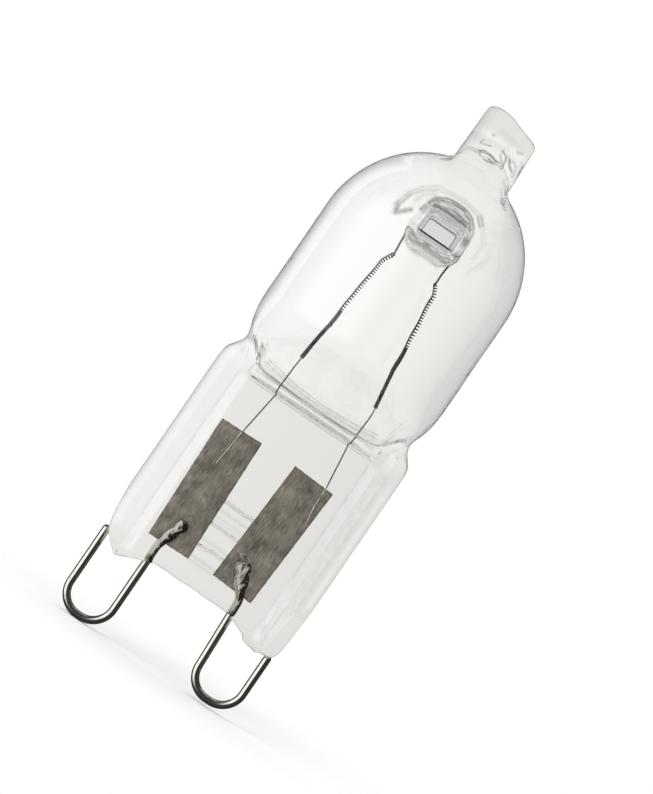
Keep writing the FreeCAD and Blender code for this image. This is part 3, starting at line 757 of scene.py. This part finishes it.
# mm, where each net is made finer and then finer again: reach round the dimples with limits in y,
# boxes with limits in x to either side, y and z, and the place of the press marks
outerZones = [
    {"pits": [(3, whole), (4, (least, 0))], "marks": [marksBox],
     "boxes": [(whole, whole, (least, 6.4)), ((5.6, most), whole, (least, 8.8)),
               ((4.6, 5.8), whole, (least, 19)), (whole, whole, (18.8, 22.6)),
               ((least, 2.8), whole, (37.6, most))]},
    {"pits": [(2.3, (-5, 5)), (3.6, (least, -5.2))], "marks": [marksBox],
     "boxes": [((4.75, 5.65), (least, 0), (5, 19.3)), ((least, 5), (least, 0), (19.25, 21.1)),
               ((least, 2.8), (least, 0.6), (38.6, most))]},
]
gasZones = [
    {"pits": [(3, whole)],
     "boxes": [(whole, whole, (least, 21.8)), ((least, 2.8), whole, (37.6, most))]},
    {"pits": [(2.2, (-4.5, 4.5))],
     "boxes": [((least, 5.3), whole, (least, 21)), (whole, whole, (38.4, most))]},
]


def ringFaces(rings, sides):
    # faces between rings of points, closed by a point at each end that follows the rings
    faces = []
    first, last = rings * sides, rings * sides + 1
    end = (rings - 1) * sides
    for j in range(sides):
        k = (j + 1) % sides
        faces.append([first, k, j])
        faces.append([last, end + j, end + k])
        for i in range(0, end, sides):
            faces.append([i + j, i + k, i + sides + k, i + sides + j])
    return faces


def bubbleSkin(middle, half, rings, sides):
    # a round hole in the glass, its faces towards its middle
    turn = np.linspace(0, 2 * math.pi, sides, endpoint=False)
    rise = np.linspace(0, math.pi, rings + 1)[1:-1]
    rows = [[math.sin(r) * np.cos(turn), math.sin(r) * np.sin(turn), np.full(sides, math.cos(r))]
            for r in rise]
    unit = np.concatenate([np.array(row).T for row in rows] + [[[0, 0, 1]], [[0, 0, -1]]])
    normals = -unit / np.array(half)
    normals = normals / np.linalg.norm(normals, axis=1, keepdims=True)
    return unit * half + middle, ringFaces(len(rise), sides), normals


# gas caught in the glass, before the right foil and where the tip was pinched off
bubbles = [{"middle": (1.6, -0.3, 9.52), "half": (0.32, 0.14, 0.185), "rings": 12, "sides": 20},
           {"middle": (0.0, -1.45, 39.55), "half": (0.6, 0.25, 0.34), "rings": 20, "sides": 36}]
margin = np.full(3, quartz["margin"])
outerSkin = skin(outerField, quartzLow - margin, quartzHigh + margin, False,
                 [fineZone(zone) for zone in outerZones])
gasSkin = skin(gasField, np.array(quartz["gasLow"]), np.array(quartz["gasHigh"]), True,
               [fineZone(zone) for zone in gasZones])
caught = [bubbleSkin(**bubble) for bubble in bubbles]
addPiece("quartzEnvelope", meshOf("quartzEnvelope", [outerSkin, gasSkin, *caught]), quartzGlass,
         "quartz_envelope")


def bentPath(corners, radii, step):
    # straight runs and round bends, as points about a step apart
    corners = [np.array(c, float) for c in corners]
    runs = [corners[0]]
    for before, here, after, radius in zip(corners, corners[1:], corners[2:], radii):
        back = (before - here) / np.linalg.norm(before - here)
        ahead = (after - here) / np.linalg.norm(after - here)
        half = (math.pi - math.acos(np.clip(back @ ahead, -1, 1))) / 2
        if half < 0.001:
            continue
        reach = radius * math.tan(half)
        inward = (back + ahead) / np.linalg.norm(back + ahead)
        middle = here + inward * radius / math.cos(half)
        count = max(2, int(2 * half * radius / step) + 1)
        first = here + back * reach - middle
        last = here + ahead * reach - middle
        for i in range(count + 1):
            t = i / count
            arm = math.sin((1 - t) * 2 * half) * first + math.sin(t * 2 * half) * last
            runs.append(middle + arm / math.sin(2 * half))
    runs.append(corners[-1])
    points = [runs[0]]
    for a, b in zip(runs, runs[1:]):
        count = max(1, int(np.linalg.norm(b - a) / step))
        points += [mix(a, b, (i + 1) / count) for i in range(count)]
    return np.array(points)


def tube(path, radii, sides, flat=None):
    # rings along a path that lies across the lamp; flat squeezes a ring front to back
    ahead = np.gradient(path, axis=0)
    ahead /= np.linalg.norm(ahead, axis=1, keepdims=True)
    through = np.array([0.0, 1.0, 0.0])
    aside = np.cross(ahead, through)
    angle = np.linspace(0, 2 * math.pi, sides, endpoint=False)
    flat = np.ones(len(path)) if flat is None else flat
    arms = np.cos(angle)[None, :, None] * aside[:, None, :] \
        + np.sin(angle)[None, :, None] * flat[:, None, None] * through
    rings = path[:, None, :] + arms * np.asarray(radii)[:, None, None]
    points = np.concatenate([rings.reshape(-1, 3), path[:1], path[-1:]])
    return points, ringFaces(len(path), sides)


def plainMesh(name, parts, merge=0.0):
    mesh = bpy.data.meshes.new(name)
    points, faces = joined(parts)
    mesh.from_pydata([tuple(p) for p in points], [], faces)
    work = bmesh.new()
    work.from_mesh(mesh)
    if merge > 0:
        bmesh.ops.remove_doubles(work, verts=work.verts, dist=merge)
    bmesh.ops.recalc_face_normals(work, faces=work.faces)
    work.to_mesh(mesh)
    work.free()
    mesh.polygons.foreach_set("use_smooth", [True] * len(mesh.polygons))
    mesh.update()
    return mesh


def lengthAlong(path):
    return np.concatenate([[0], np.cumsum(np.linalg.norm(np.diff(path, axis=0), axis=1))])


def roundedEnds(path, radius, least):
    # ring sizes that close both ends of a wire with a dome
    along = lengthAlong(path)
    near = np.minimum(along, along[-1] - along)
    share = np.clip(1 - near / radius, 0, 1)
    return np.maximum(radius * np.sqrt(np.maximum(1 - share ** 2, 0.0)), least)


foils = {
    "left": {"middle": -3.03, "turn": -1.7},
    "right": {"middle": 2.3, "turn": 2.8},
    "width": 3.12, "length": 8.9, "low": 7.27, "halfThick": 0.025, "step": 0.06,
    "sideInset": 0.02, "endInset": 0.01, "sideFeather": 4, "endFeather": 60,    # powers of thinning edges
    "curl": 0.04, "sideCurl": 0.9, "sideCurlFade": 0.1, "endCurl": 0.965, "endCurlFade": 0.035,
    "merge": 1e-7,           # m, joins both faces along the edge
    # folds: two ends of each, width and height
    "folds": [((-2.75, 11.2), (-1.6, 10.7), 0.16, 0.05), ((-2.75, 9.7), (-2.0, 9.0), 0.14, 0.06),
              ((-3.6, 8.2), (-4.2, 7.6), 0.25, 0.04), ((2.6, 11.6), (2.2, 10.7), 0.3, 0.04),
              ((1.3, 13.6), (1.6, 12.4), 0.25, 0.04), ((0.9, 7.8), (2.0, 7.9), 0.16, 0.05)],
}
pins = {
    "wire": 0.275, "least": 0.004, "plane": -0.28, "step": 0.06, "sides": 24,
    "left": {"corners": [(-6.85, 6.22), (-6.85, 0.275), (-3.5, 0.275), (-3.5, 6.97), (-2.75, 9.22)]},
    "right": {"corners": [(6.55, 5.12), (6.55, 0.475), (3.2, 0.475), (2.9, 6.97), (1.7, 9.22)]},
    "bends": [1.575, 1.575, 1.1],
    # the inner ends were pressed wider on the foils: length of that stretch and share of width gained
    "pressed": 2.6, "pressedFade": 1.6, "gain": {"left": 0.35, "right": 0.75}, "lumps": 0.16,
}


def pinMesh(side):
    corners = [(x, pins["plane"], z) for x, z in pins[side]["corners"]]
    path = bentPath(corners, pins["bends"], pins["step"])
    along = lengthAlong(path)
    left = along[-1] - along         # what is left of the wire up to its inner end
    lumps = pins["lumps"] * (np.sin(5.5 * left) + 0.5 * np.sin(12 * left + 1))
    gain = smooth((pins["pressed"] - left) / pins["pressedFade"]) * (pins["gain"][side] + lumps)
    radii = roundedEnds(path, pins["wire"], pins["least"]) * (1 + gain)
    return plainMesh("pin" + side.title(), [tube(path, radii, pins["sides"], 1 / (1 + gain))])


def foilMesh(side):
    turn = math.radians(foils[side]["turn"])
    columns = int(foils["width"] / foils["step"])
    rows = int(foils["length"] / foils["step"])
    u, v = np.meshgrid(np.linspace(-1, 1, columns + 1), np.linspace(-1, 1, rows + 1))
    feather = np.sqrt(np.maximum(1 - u ** foils["sideFeather"], 0))
    feather = feather * np.sqrt(np.maximum(1 - v ** foils["endFeather"], 0))
    # sums of sines make the sheet wave and its edges ragged
    wave = 0.008 * np.sin(2.2 * u + 3 * v) + 0.006 * np.sin(9 * v + u)
    ragged = 0.005 * np.sin(21 * v + 2 * u) + 0.004 * np.sin(47 * v)
    sideCurl = smooth((np.abs(u) - foils["sideCurl"]) / foils["sideCurlFade"])
    endCurl = smooth((np.abs(v) - foils["endCurl"]) / foils["endCurlFade"])
    wave = wave + foils["curl"] * (sideCurl + endCurl)
    across = u * (foils["width"] / 2 - foils["sideInset"] + ragged * u ** 8)
    up = v * (foils["length"] / 2 - foils["endInset"] + 0.01 * np.sin(17 * u) * v ** 20)
    x = foils[side]["middle"] + across * math.cos(turn) + up * math.sin(turn)
    z = foils["low"] + foils["length"] / 2 + up * math.cos(turn) - across * math.sin(turn)
    for start, end, width, height in foils["folds"]:
        wave = wave - height * nearLine(x, z, start, end, width)
    sheets = []
    for face in (-1, 1):
        y = wave + face * feather * foils["halfThick"]
        sheets.append(np.stack([x, y, z], -1).reshape(-1, 3))
    faces = []
    total = (rows + 1) * (columns + 1)
    for i in range(rows):
        for j in range(columns):
            a = i * (columns + 1) + j
            quad = [a, a + 1, a + columns + 2, a + columns + 1]
            faces.append(quad)
            faces.append([k + total for k in reversed(quad)])
    return plainMesh("foil" + side.title(), [(np.concatenate(sheets), faces)], foils["merge"])


for side in ("left", "right"):
    addPiece("pin" + side.title(), pinMesh(side), pinMetal, "pin_" + side)
    addPiece("foil" + side.title(), foilMesh(side), foilMetal, "foil_" + side)

leads = {
    "wire": 0.05, "least": 0.002, "plane": -0.055, "step": 0.08, "sides": 10, "bend": 0.4,
    "left": [(-2.26, 26.2), (-2.62, 21.92), (-2.7, 20.32), (-2.66, 19.52), (-3.1, 16.17), (-3.36, 13.42)],
    "right": [(2.59, 26.2), (3.03, 21.92), (3.1, 20.32), (3.02, 19.52), (3.45, 16.17), (3.5, 14.6),
              (3.72, 13.42)],
}
for side in ("left", "right"):
    route = [(x, leads["plane"], z) for x, z in leads[side]]
    path = bentPath(route, [leads["bend"]] * (len(route) - 2), leads["step"])
    wire = tube(path, roundedEnds(path, leads["wire"], leads["least"]), leads["sides"])
    addPiece("lead" + side.title(), plainMesh("lead" + side.title(), [wire]), leadMetal,
             "lead_" + side)


filament = {
    "plane": -0.055, "step": 0.08, "pointsPerTurn": 20, "sides": 6,
    # corner points from the foot up, lengths of the close and the open winding from the foot
    "left": {"corners": [(-2.57, 22.6), (-1.91, 30.42), (-1.53, 31.17)], "bend": 0.4,
             "close": 3.7, "open": 3.1},
    "right": {"corners": [(2.96, 22.6), (2.15, 30.42), (1.77, 31.17)], "bend": 0.4,
              "close": 4.1, "open": 4.2},
    "held": {"corners": [(-1.53, 30.9), (-1.63, 33.47), (1.87, 33.47), (1.77, 30.9)], "bend": 0.5},
    # the wire that runs on inside the open turns, and a little way into the close ones
    "core": {"wire": 0.045, "least": 0.002, "sides": 8, "aside": -0.1, "overlap": 0.4},
    # drawn coarser than real, so that the turns show
    "legs": {"Coil Radius": 0.115, "Wire Radius": 0.042, "Lean": 0.045,
             "Foot Pitch": 0.1, "Open Pitch": 0.2, "Top Pitch": 0.17},
    "thin": {"Coil Radius": 0.045, "Wire Radius": 0.04, "Lean": 0.0,
             "Foot Pitch": 0.12, "Open Pitch": 0.12, "Top Pitch": 0.12},
}


def coilTree():
    # winds a wire round the curve that it is given
    tree = bpy.data.node_groups.new("coiledWire", "GeometryNodeTree")
    face = tree.interface
    face.new_socket("Geometry", in_out="INPUT", socket_type="NodeSocketGeometry")
    for name in ("Coil Radius", "Wire Radius", "Foot Pitch", "Open Pitch", "Top Pitch", "Lean",
                 "Foot Length", "Open Length"):
        face.new_socket(name, in_out="INPUT", socket_type="NodeSocketFloat")
    face.new_socket("Points", in_out="INPUT", socket_type="NodeSocketInt")
    face.new_socket("Material", in_out="INPUT", socket_type="NodeSocketMaterial")
    face.new_socket("Geometry", in_out="OUTPUT", socket_type="NodeSocketGeometry")
    given = addNode(tree, "NodeGroupInput").outputs
    curve = addNode(tree, "GeometryNodeResampleCurve", {
        "Curve": given["Geometry"], "Count": given["Points"]})
    known = {"length": addNode(tree, "GeometryNodeSplineParameter").outputs["Length"], "zero": 0.0,
             "wholeTurn": 2 * math.pi}
    # turns wound so far: close at the foot, open above it, close again at the top
    sums = [("inFoot", "MINIMUM", "length", "Foot Length"),
            ("footTurns", "DIVIDE", "inFoot", "Foot Pitch"),
            ("pastFoot", "SUBTRACT", "length", "Foot Length"),
            ("aboveFoot", "MAXIMUM", "pastFoot", "zero"),
            ("inOpen", "MINIMUM", "aboveFoot", "Open Length"),
            ("openTurns", "DIVIDE", "inOpen", "Open Pitch"),
            ("lowTurns", "ADD", "footTurns", "openTurns"),
            ("pastOpen", "SUBTRACT", "pastFoot", "Open Length"),
            ("inTop", "MAXIMUM", "pastOpen", "zero"),
            ("topTurns", "DIVIDE", "inTop", "Top Pitch"),
            ("turns", "ADD", "lowTurns", "topTurns"),
            ("angle", "MULTIPLY", "turns", "wholeTurn"),
            ("cosine", "COSINE", "angle"),
            ("sine", "SINE", "angle"),
            ("rise", "MULTIPLY", "sine", "Lean")]
    for name, operation, *sources in sums:
        inputs = {}
        for i, source in enumerate(sources):
            inputs[i] = known[source] if source in known else given[source]
        known[name] = addNode(tree, "ShaderNodeMath", inputs, operation=operation).outputs[0]
    # an arm that sweeps round the axis; each turn leans, level where it shows and steep on the left
    known["through"] = (0.0, 1.0, 0.0)
    known["tangent"] = addNode(tree, "GeometryNodeInputTangent").outputs[0]
    moves = [("aside", "CROSS_PRODUCT", "tangent", 1, "through"),
             ("armX", "SCALE", "aside", "Scale", "cosine"),
             ("armY", "SCALE", "through", "Scale", "sine"),
             ("round", "ADD", "armX", 1, "armY"),
             ("sweep", "SCALE", "round", "Scale", "Coil Radius"),
             ("lift", "SCALE", "tangent", "Scale", "rise"),
             ("arm", "ADD", "sweep", 1, "lift")]
    for name, operation, source, socket, second in moves:
        inputs = {0: known[source], socket: known[second] if second in known else given[second]}
        known[name] = addNode(tree, "ShaderNodeVectorMath", inputs, operation=operation).outputs[0]
    wound = addNode(tree, "GeometryNodeSetPosition", {
        "Geometry": curve.outputs[0], "Offset": known["arm"]})
    section = addNode(tree, "GeometryNodeCurvePrimitiveCircle", {
        "Resolution": filament["sides"], "Radius": given["Wire Radius"]})
    wire = addNode(tree, "GeometryNodeCurveToMesh", {
        "Curve": wound.outputs[0], "Profile Curve": section.outputs[0], "Fill Caps": True})
    shaded = addNode(tree, "GeometryNodeSetShadeSmooth", {"Geometry": wire.outputs[0]})
    real = addNode(tree, "GeometryNodeRealizeInstances", {"Geometry": shaded.outputs[0]})
    dressed = addNode(tree, "GeometryNodeSetMaterial", {
        "Geometry": real.outputs[0], "Material": given["Material"]})
    addNode(tree, "NodeGroupOutput", {0: dressed.outputs[0]})
    return tree


def coiledMesh(tree, route, bends, sizes, close, opened):
    path = bentPath([(x, filament["plane"], z) for x, z in route], bends, filament["step"]) * mm
    data = bpy.data.curves.new("coilAxis", "CURVE")
    data.dimensions = "3D"
    line = data.splines.new("POLY")
    line.points.add(len(path) - 1)
    for spot, place in zip(line.points, path):
        spot.co = (*place, 1)
    axis = bpy.data.objects.new("coilAxis", data)
    bpy.context.scene.collection.objects.link(axis)
    total = np.linalg.norm(np.diff(path, axis=0), axis=1).sum() / mm
    wound = close / sizes["Foot Pitch"] + opened / sizes["Open Pitch"] \
        + max(total - close - opened, 0) / sizes["Top Pitch"]
    values = {name: size * mm for name, size in sizes.items()}
    values.update({"Foot Length": close * mm, "Open Length": opened * mm, "Material": coilMetal,
                   "Points": int(wound * filament["pointsPerTurn"])})
    winding = axis.modifiers.new("winding", "NODES")
    winding.node_group = tree
    for socket in tree.interface.items_tree:
        if socket.in_out == "INPUT" and socket.name in values:
            winding[socket.identifier] = values[socket.name]
    ready = axis.evaluated_get(bpy.context.evaluated_depsgraph_get())
    mesh = bpy.data.meshes.new_from_object(ready)
    axis.modifiers.remove(winding)
    bpy.data.objects.remove(axis)
    return mesh


def filamentMesh():
    tree = coilTree()
    parts = []
    for side in ("left", "right"):
        leg = filament[side]
        close, opened = leg["close"], leg["open"]
        parts.append(coiledMesh(tree, leg["corners"], [leg["bend"]], filament["legs"], close, opened))
        core = filament["core"]
        low, high = np.array(leg["corners"][0]), np.array(leg["corners"][1])
        straight = np.linalg.norm(high - low)
        along = (high - low) / straight
        start = low + along * (close - core["overlap"])
        end = low + along * min(close + opened + core["overlap"], straight)
        ends = [(x + core["aside"], filament["plane"], z) for x, z in (start, end)]
        path = bentPath(ends, [], filament["step"])
        radii = roundedEnds(path, core["wire"], core["least"])
        parts.append(plainMesh("core", [tube(path, radii, core["sides"])]))
    held = filament["held"]
    parts.append(coiledMesh(tree, held["corners"], [held["bend"]] * 2, filament["thin"], 0.0, 0.0))
    work = bmesh.new()
    for part in parts:
        work.from_mesh(part)
        bpy.data.meshes.remove(part)
    mesh = bpy.data.meshes.new("filament")
    work.to_mesh(mesh)
    work.free()
    mesh.polygons.foreach_set("use_smooth", [True] * len(mesh.polygons))
    return mesh


addPiece("filament", filamentMesh(), coilMetal, "filament")

camera = {"aim": (0.12, 0.0, 21.07), "roll": 34.4, "frameHeight": 51.66, "lens": 150.0, "sensor": 36.0,
          "near": 1.0, "far": 10000.0}


def addCamera():
    data = bpy.data.cameras.new("camera")
    data.lens = camera["lens"]
    data.sensor_width = camera["sensor"]
    data.clip_start = camera["near"] * mm
    data.clip_end = camera["far"] * mm
    body = bpy.data.objects.new("camera", data)
    bpy.context.scene.collection.objects.link(body)
    roll = math.radians(camera["roll"])
    right = Vector((math.cos(roll), 0, math.sin(roll)))
    up = Vector((-math.sin(roll), 0, math.cos(roll)))
    back = Vector((0, -1, 0))
    away = camera["frameHeight"] * camera["lens"] / camera["sensor"]
    place = (Vector(camera["aim"]) + back * away) * mm
    turn = Matrix((right, up, back)).transposed().to_4x4()
    body.matrix_world = Matrix.Translation(place) @ turn
    bpy.context.scene.camera = body


def addWorld():
    # White behind the lamp. What the glass bends into view is white with two soft grey sides, a darker top
    # and a greyer foot. What shines back is a white wall on the left and a dark room, and what is thrown
    # about inside the glass is a little greyer on the right.
    look = {"lobeTurn": 40.0, "lobeFrom": 0.6, "lobeDepth": 0.15, "topFrom": 0.4, "topDepth": 0.85,
            "footFrom": -0.6, "footDepth": 0.3,
            "wall": (-0.76, -0.65, 0.0), "wallFrom": 0.67, "wallTo": 0.93, "wallLevel": 1.8, "dim": 0.05,
            "inner": (-0.995, -0.1, 0.0), "innerFrom": 0.1, "innerTo": 0.5, "innerWall": 1.05,
            "innerDim": 0.8, "diffuse": 0.9}
    world = bpy.data.worlds.new("studio")
    bpy.context.scene.world = world
    world.use_nodes = True
    tree = world.node_tree
    tree.nodes.clear()
    way = addNode(tree, "ShaderNodeTexCoord").outputs["Generated"]
    turn = math.radians(look["lobeTurn"])
    towards = {}
    lobe = (math.sin(turn), math.cos(turn), 0)
    for name, direction in (("lobe", lobe), ("wall", look["wall"]), ("inner", look["inner"])):
        towards[name] = addNode(tree, "ShaderNodeVectorMath", {0: way, 1: direction},
                                operation="DOT_PRODUCT").outputs["Value"]
    bothWays = addNode(tree, "ShaderNodeMath", {
        0: towards["lobe"], 1: towards["lobe"]}, operation="MULTIPLY").outputs[0]
    height = addNode(tree, "ShaderNodeSeparateXYZ", {0: way}).outputs["Z"]
    # what each is read from, its limits, and the light at either limit
    ranges = {"sides": (bothWays, look["lobeFrom"], 1.0, 1.0, 1 - look["lobeDepth"]),
              "above": (height, look["topFrom"], 1.0, 1.0, 1 - look["topDepth"]),
              "below": (height, -1.0, look["footFrom"], 1 - look["footDepth"], 1.0),
              "shine": (towards["wall"], look["wallFrom"], look["wallTo"], look["dim"], look["wallLevel"]),
              "thrown": (towards["inner"], look["innerFrom"], look["innerTo"], look["innerDim"],
                         look["innerWall"])}
    light = {}
    for name, (source, start, end, first, last) in ranges.items():
        light[name] = addNode(tree, "ShaderNodeMapRange", {
            "Value": source, "From Min": start, "From Max": end, "To Min": first, "To Max": last},
            interpolation_type="SMOOTHSTEP").outputs["Result"]
    upDown = addNode(tree, "ShaderNodeMath", {
        0: light["above"], 1: light["below"]}, operation="MULTIPLY").outputs[0]
    bent = addNode(tree, "ShaderNodeMath", {0: upDown, 1: light["sides"]}, operation="MULTIPLY").outputs[0]
    # a bent ray counts as a shining one too, so it is asked for after it
    path = addNode(tree, "ShaderNodeLightPath").outputs
    threw = addNode(tree, "ShaderNodeMath", {
        0: path["Glossy Depth"], 1: 0.5}, operation="GREATER_THAN").outputs[0]
    bent = addNode(tree, "ShaderNodeMix", {"Factor": threw, "A": bent, "B": light["thrown"]}).outputs[0]
    level = look["diffuse"]
    shown = {"Is Glossy Ray": light["shine"], "Is Transmission Ray": bent, "Is Camera Ray": 1.0}
    for ray, strength in shown.items():
        level = addNode(tree, "ShaderNodeMix", {"Factor": path[ray], "A": level, "B": strength}).outputs[0]
    back = addNode(tree, "ShaderNodeBackground", {"Color": (1, 1, 1, 1), "Strength": level})
    addNode(tree, "ShaderNodeOutputWorld", {"Surface": back.outputs[0]})


def addFloor():
    look = {"radius": 600.0, "segments": 96, "colour": "#FFFFFF", "fadeFrom": 12.0, "fadeTo": 60.0}
    mesh = bpy.data.meshes.new("floor")
    work = bmesh.new()
    bmesh.ops.create_circle(work, cap_ends=True, radius=look["radius"] * mm, segments=look["segments"])
    work.to_mesh(mesh)
    work.free()
    floor = bpy.data.objects.new("floor", mesh)
    bpy.context.scene.collection.objects.link(floor)
    material, tree = newMaterial("white paper, matt")
    paper = addNode(tree, "ShaderNodeBsdfDiffuse", {"Color": linear(look["colour"])})
    # far from the lamp the paper runs into the white behind it
    place = addNode(tree, "ShaderNodeTexCoord").outputs["Object"]
    away = addNode(tree, "ShaderNodeVectorMath", {0: place}, operation="LENGTH").outputs["Value"]
    far = addNode(tree, "ShaderNodeMapRange", {
        "Value": away, "From Min": look["fadeFrom"] * mm, "From Max": look["fadeTo"] * mm},
        interpolation_type="SMOOTHSTEP")
    white = addNode(tree, "ShaderNodeEmission", {"Color": (1, 1, 1, 1), "Strength": 1.0})
    both = addNode(tree, "ShaderNodeMixShader", {
        0: far.outputs["Result"], 1: paper.outputs[0], 2: white.outputs[0]})
    addNode(tree, "ShaderNodeOutputMaterial", {"Surface": both.outputs[0]})
    mesh.materials.append(material)
    floor.visible_transmission = False   # the glass shows the white world instead
    floor.visible_glossy = False


def addLamp():
    look = {"place": (-140.0, -220.0, 190.0), "size": 150.0, "power": 0.3}
    data = bpy.data.lights.new("softbox", "AREA")
    data.shape = "SQUARE"
    data.size = look["size"] * mm
    data.energy = look["power"]
    lamp = bpy.data.objects.new("softbox", data)
    bpy.context.scene.collection.objects.link(lamp)
    lamp.location = Vector(look["place"]) * mm
    aim = Vector(camera["aim"]) * mm - lamp.location
    lamp.rotation_euler = aim.to_track_quat("-Z", "Y").to_euler()
    lamp.visible_camera = False
    lamp.visible_transmission = False
    lamp.visible_glossy = False          # the metal shows the white wall instead


addCamera()
addWorld()
addFloor()
addLamp()
scene = bpy.context.scene
scene.view_settings.view_transform = "Standard"
bounces = 64         # light runs a long way inside the pressed glass
scene.cycles.max_bounces = bounces
scene.cycles.transmission_bounces = bounces
scene.cycles.glossy_bounces = bounces
scene.cycles.transparent_max_bounces = 32
print("studio: camera, world, floor, softbox")
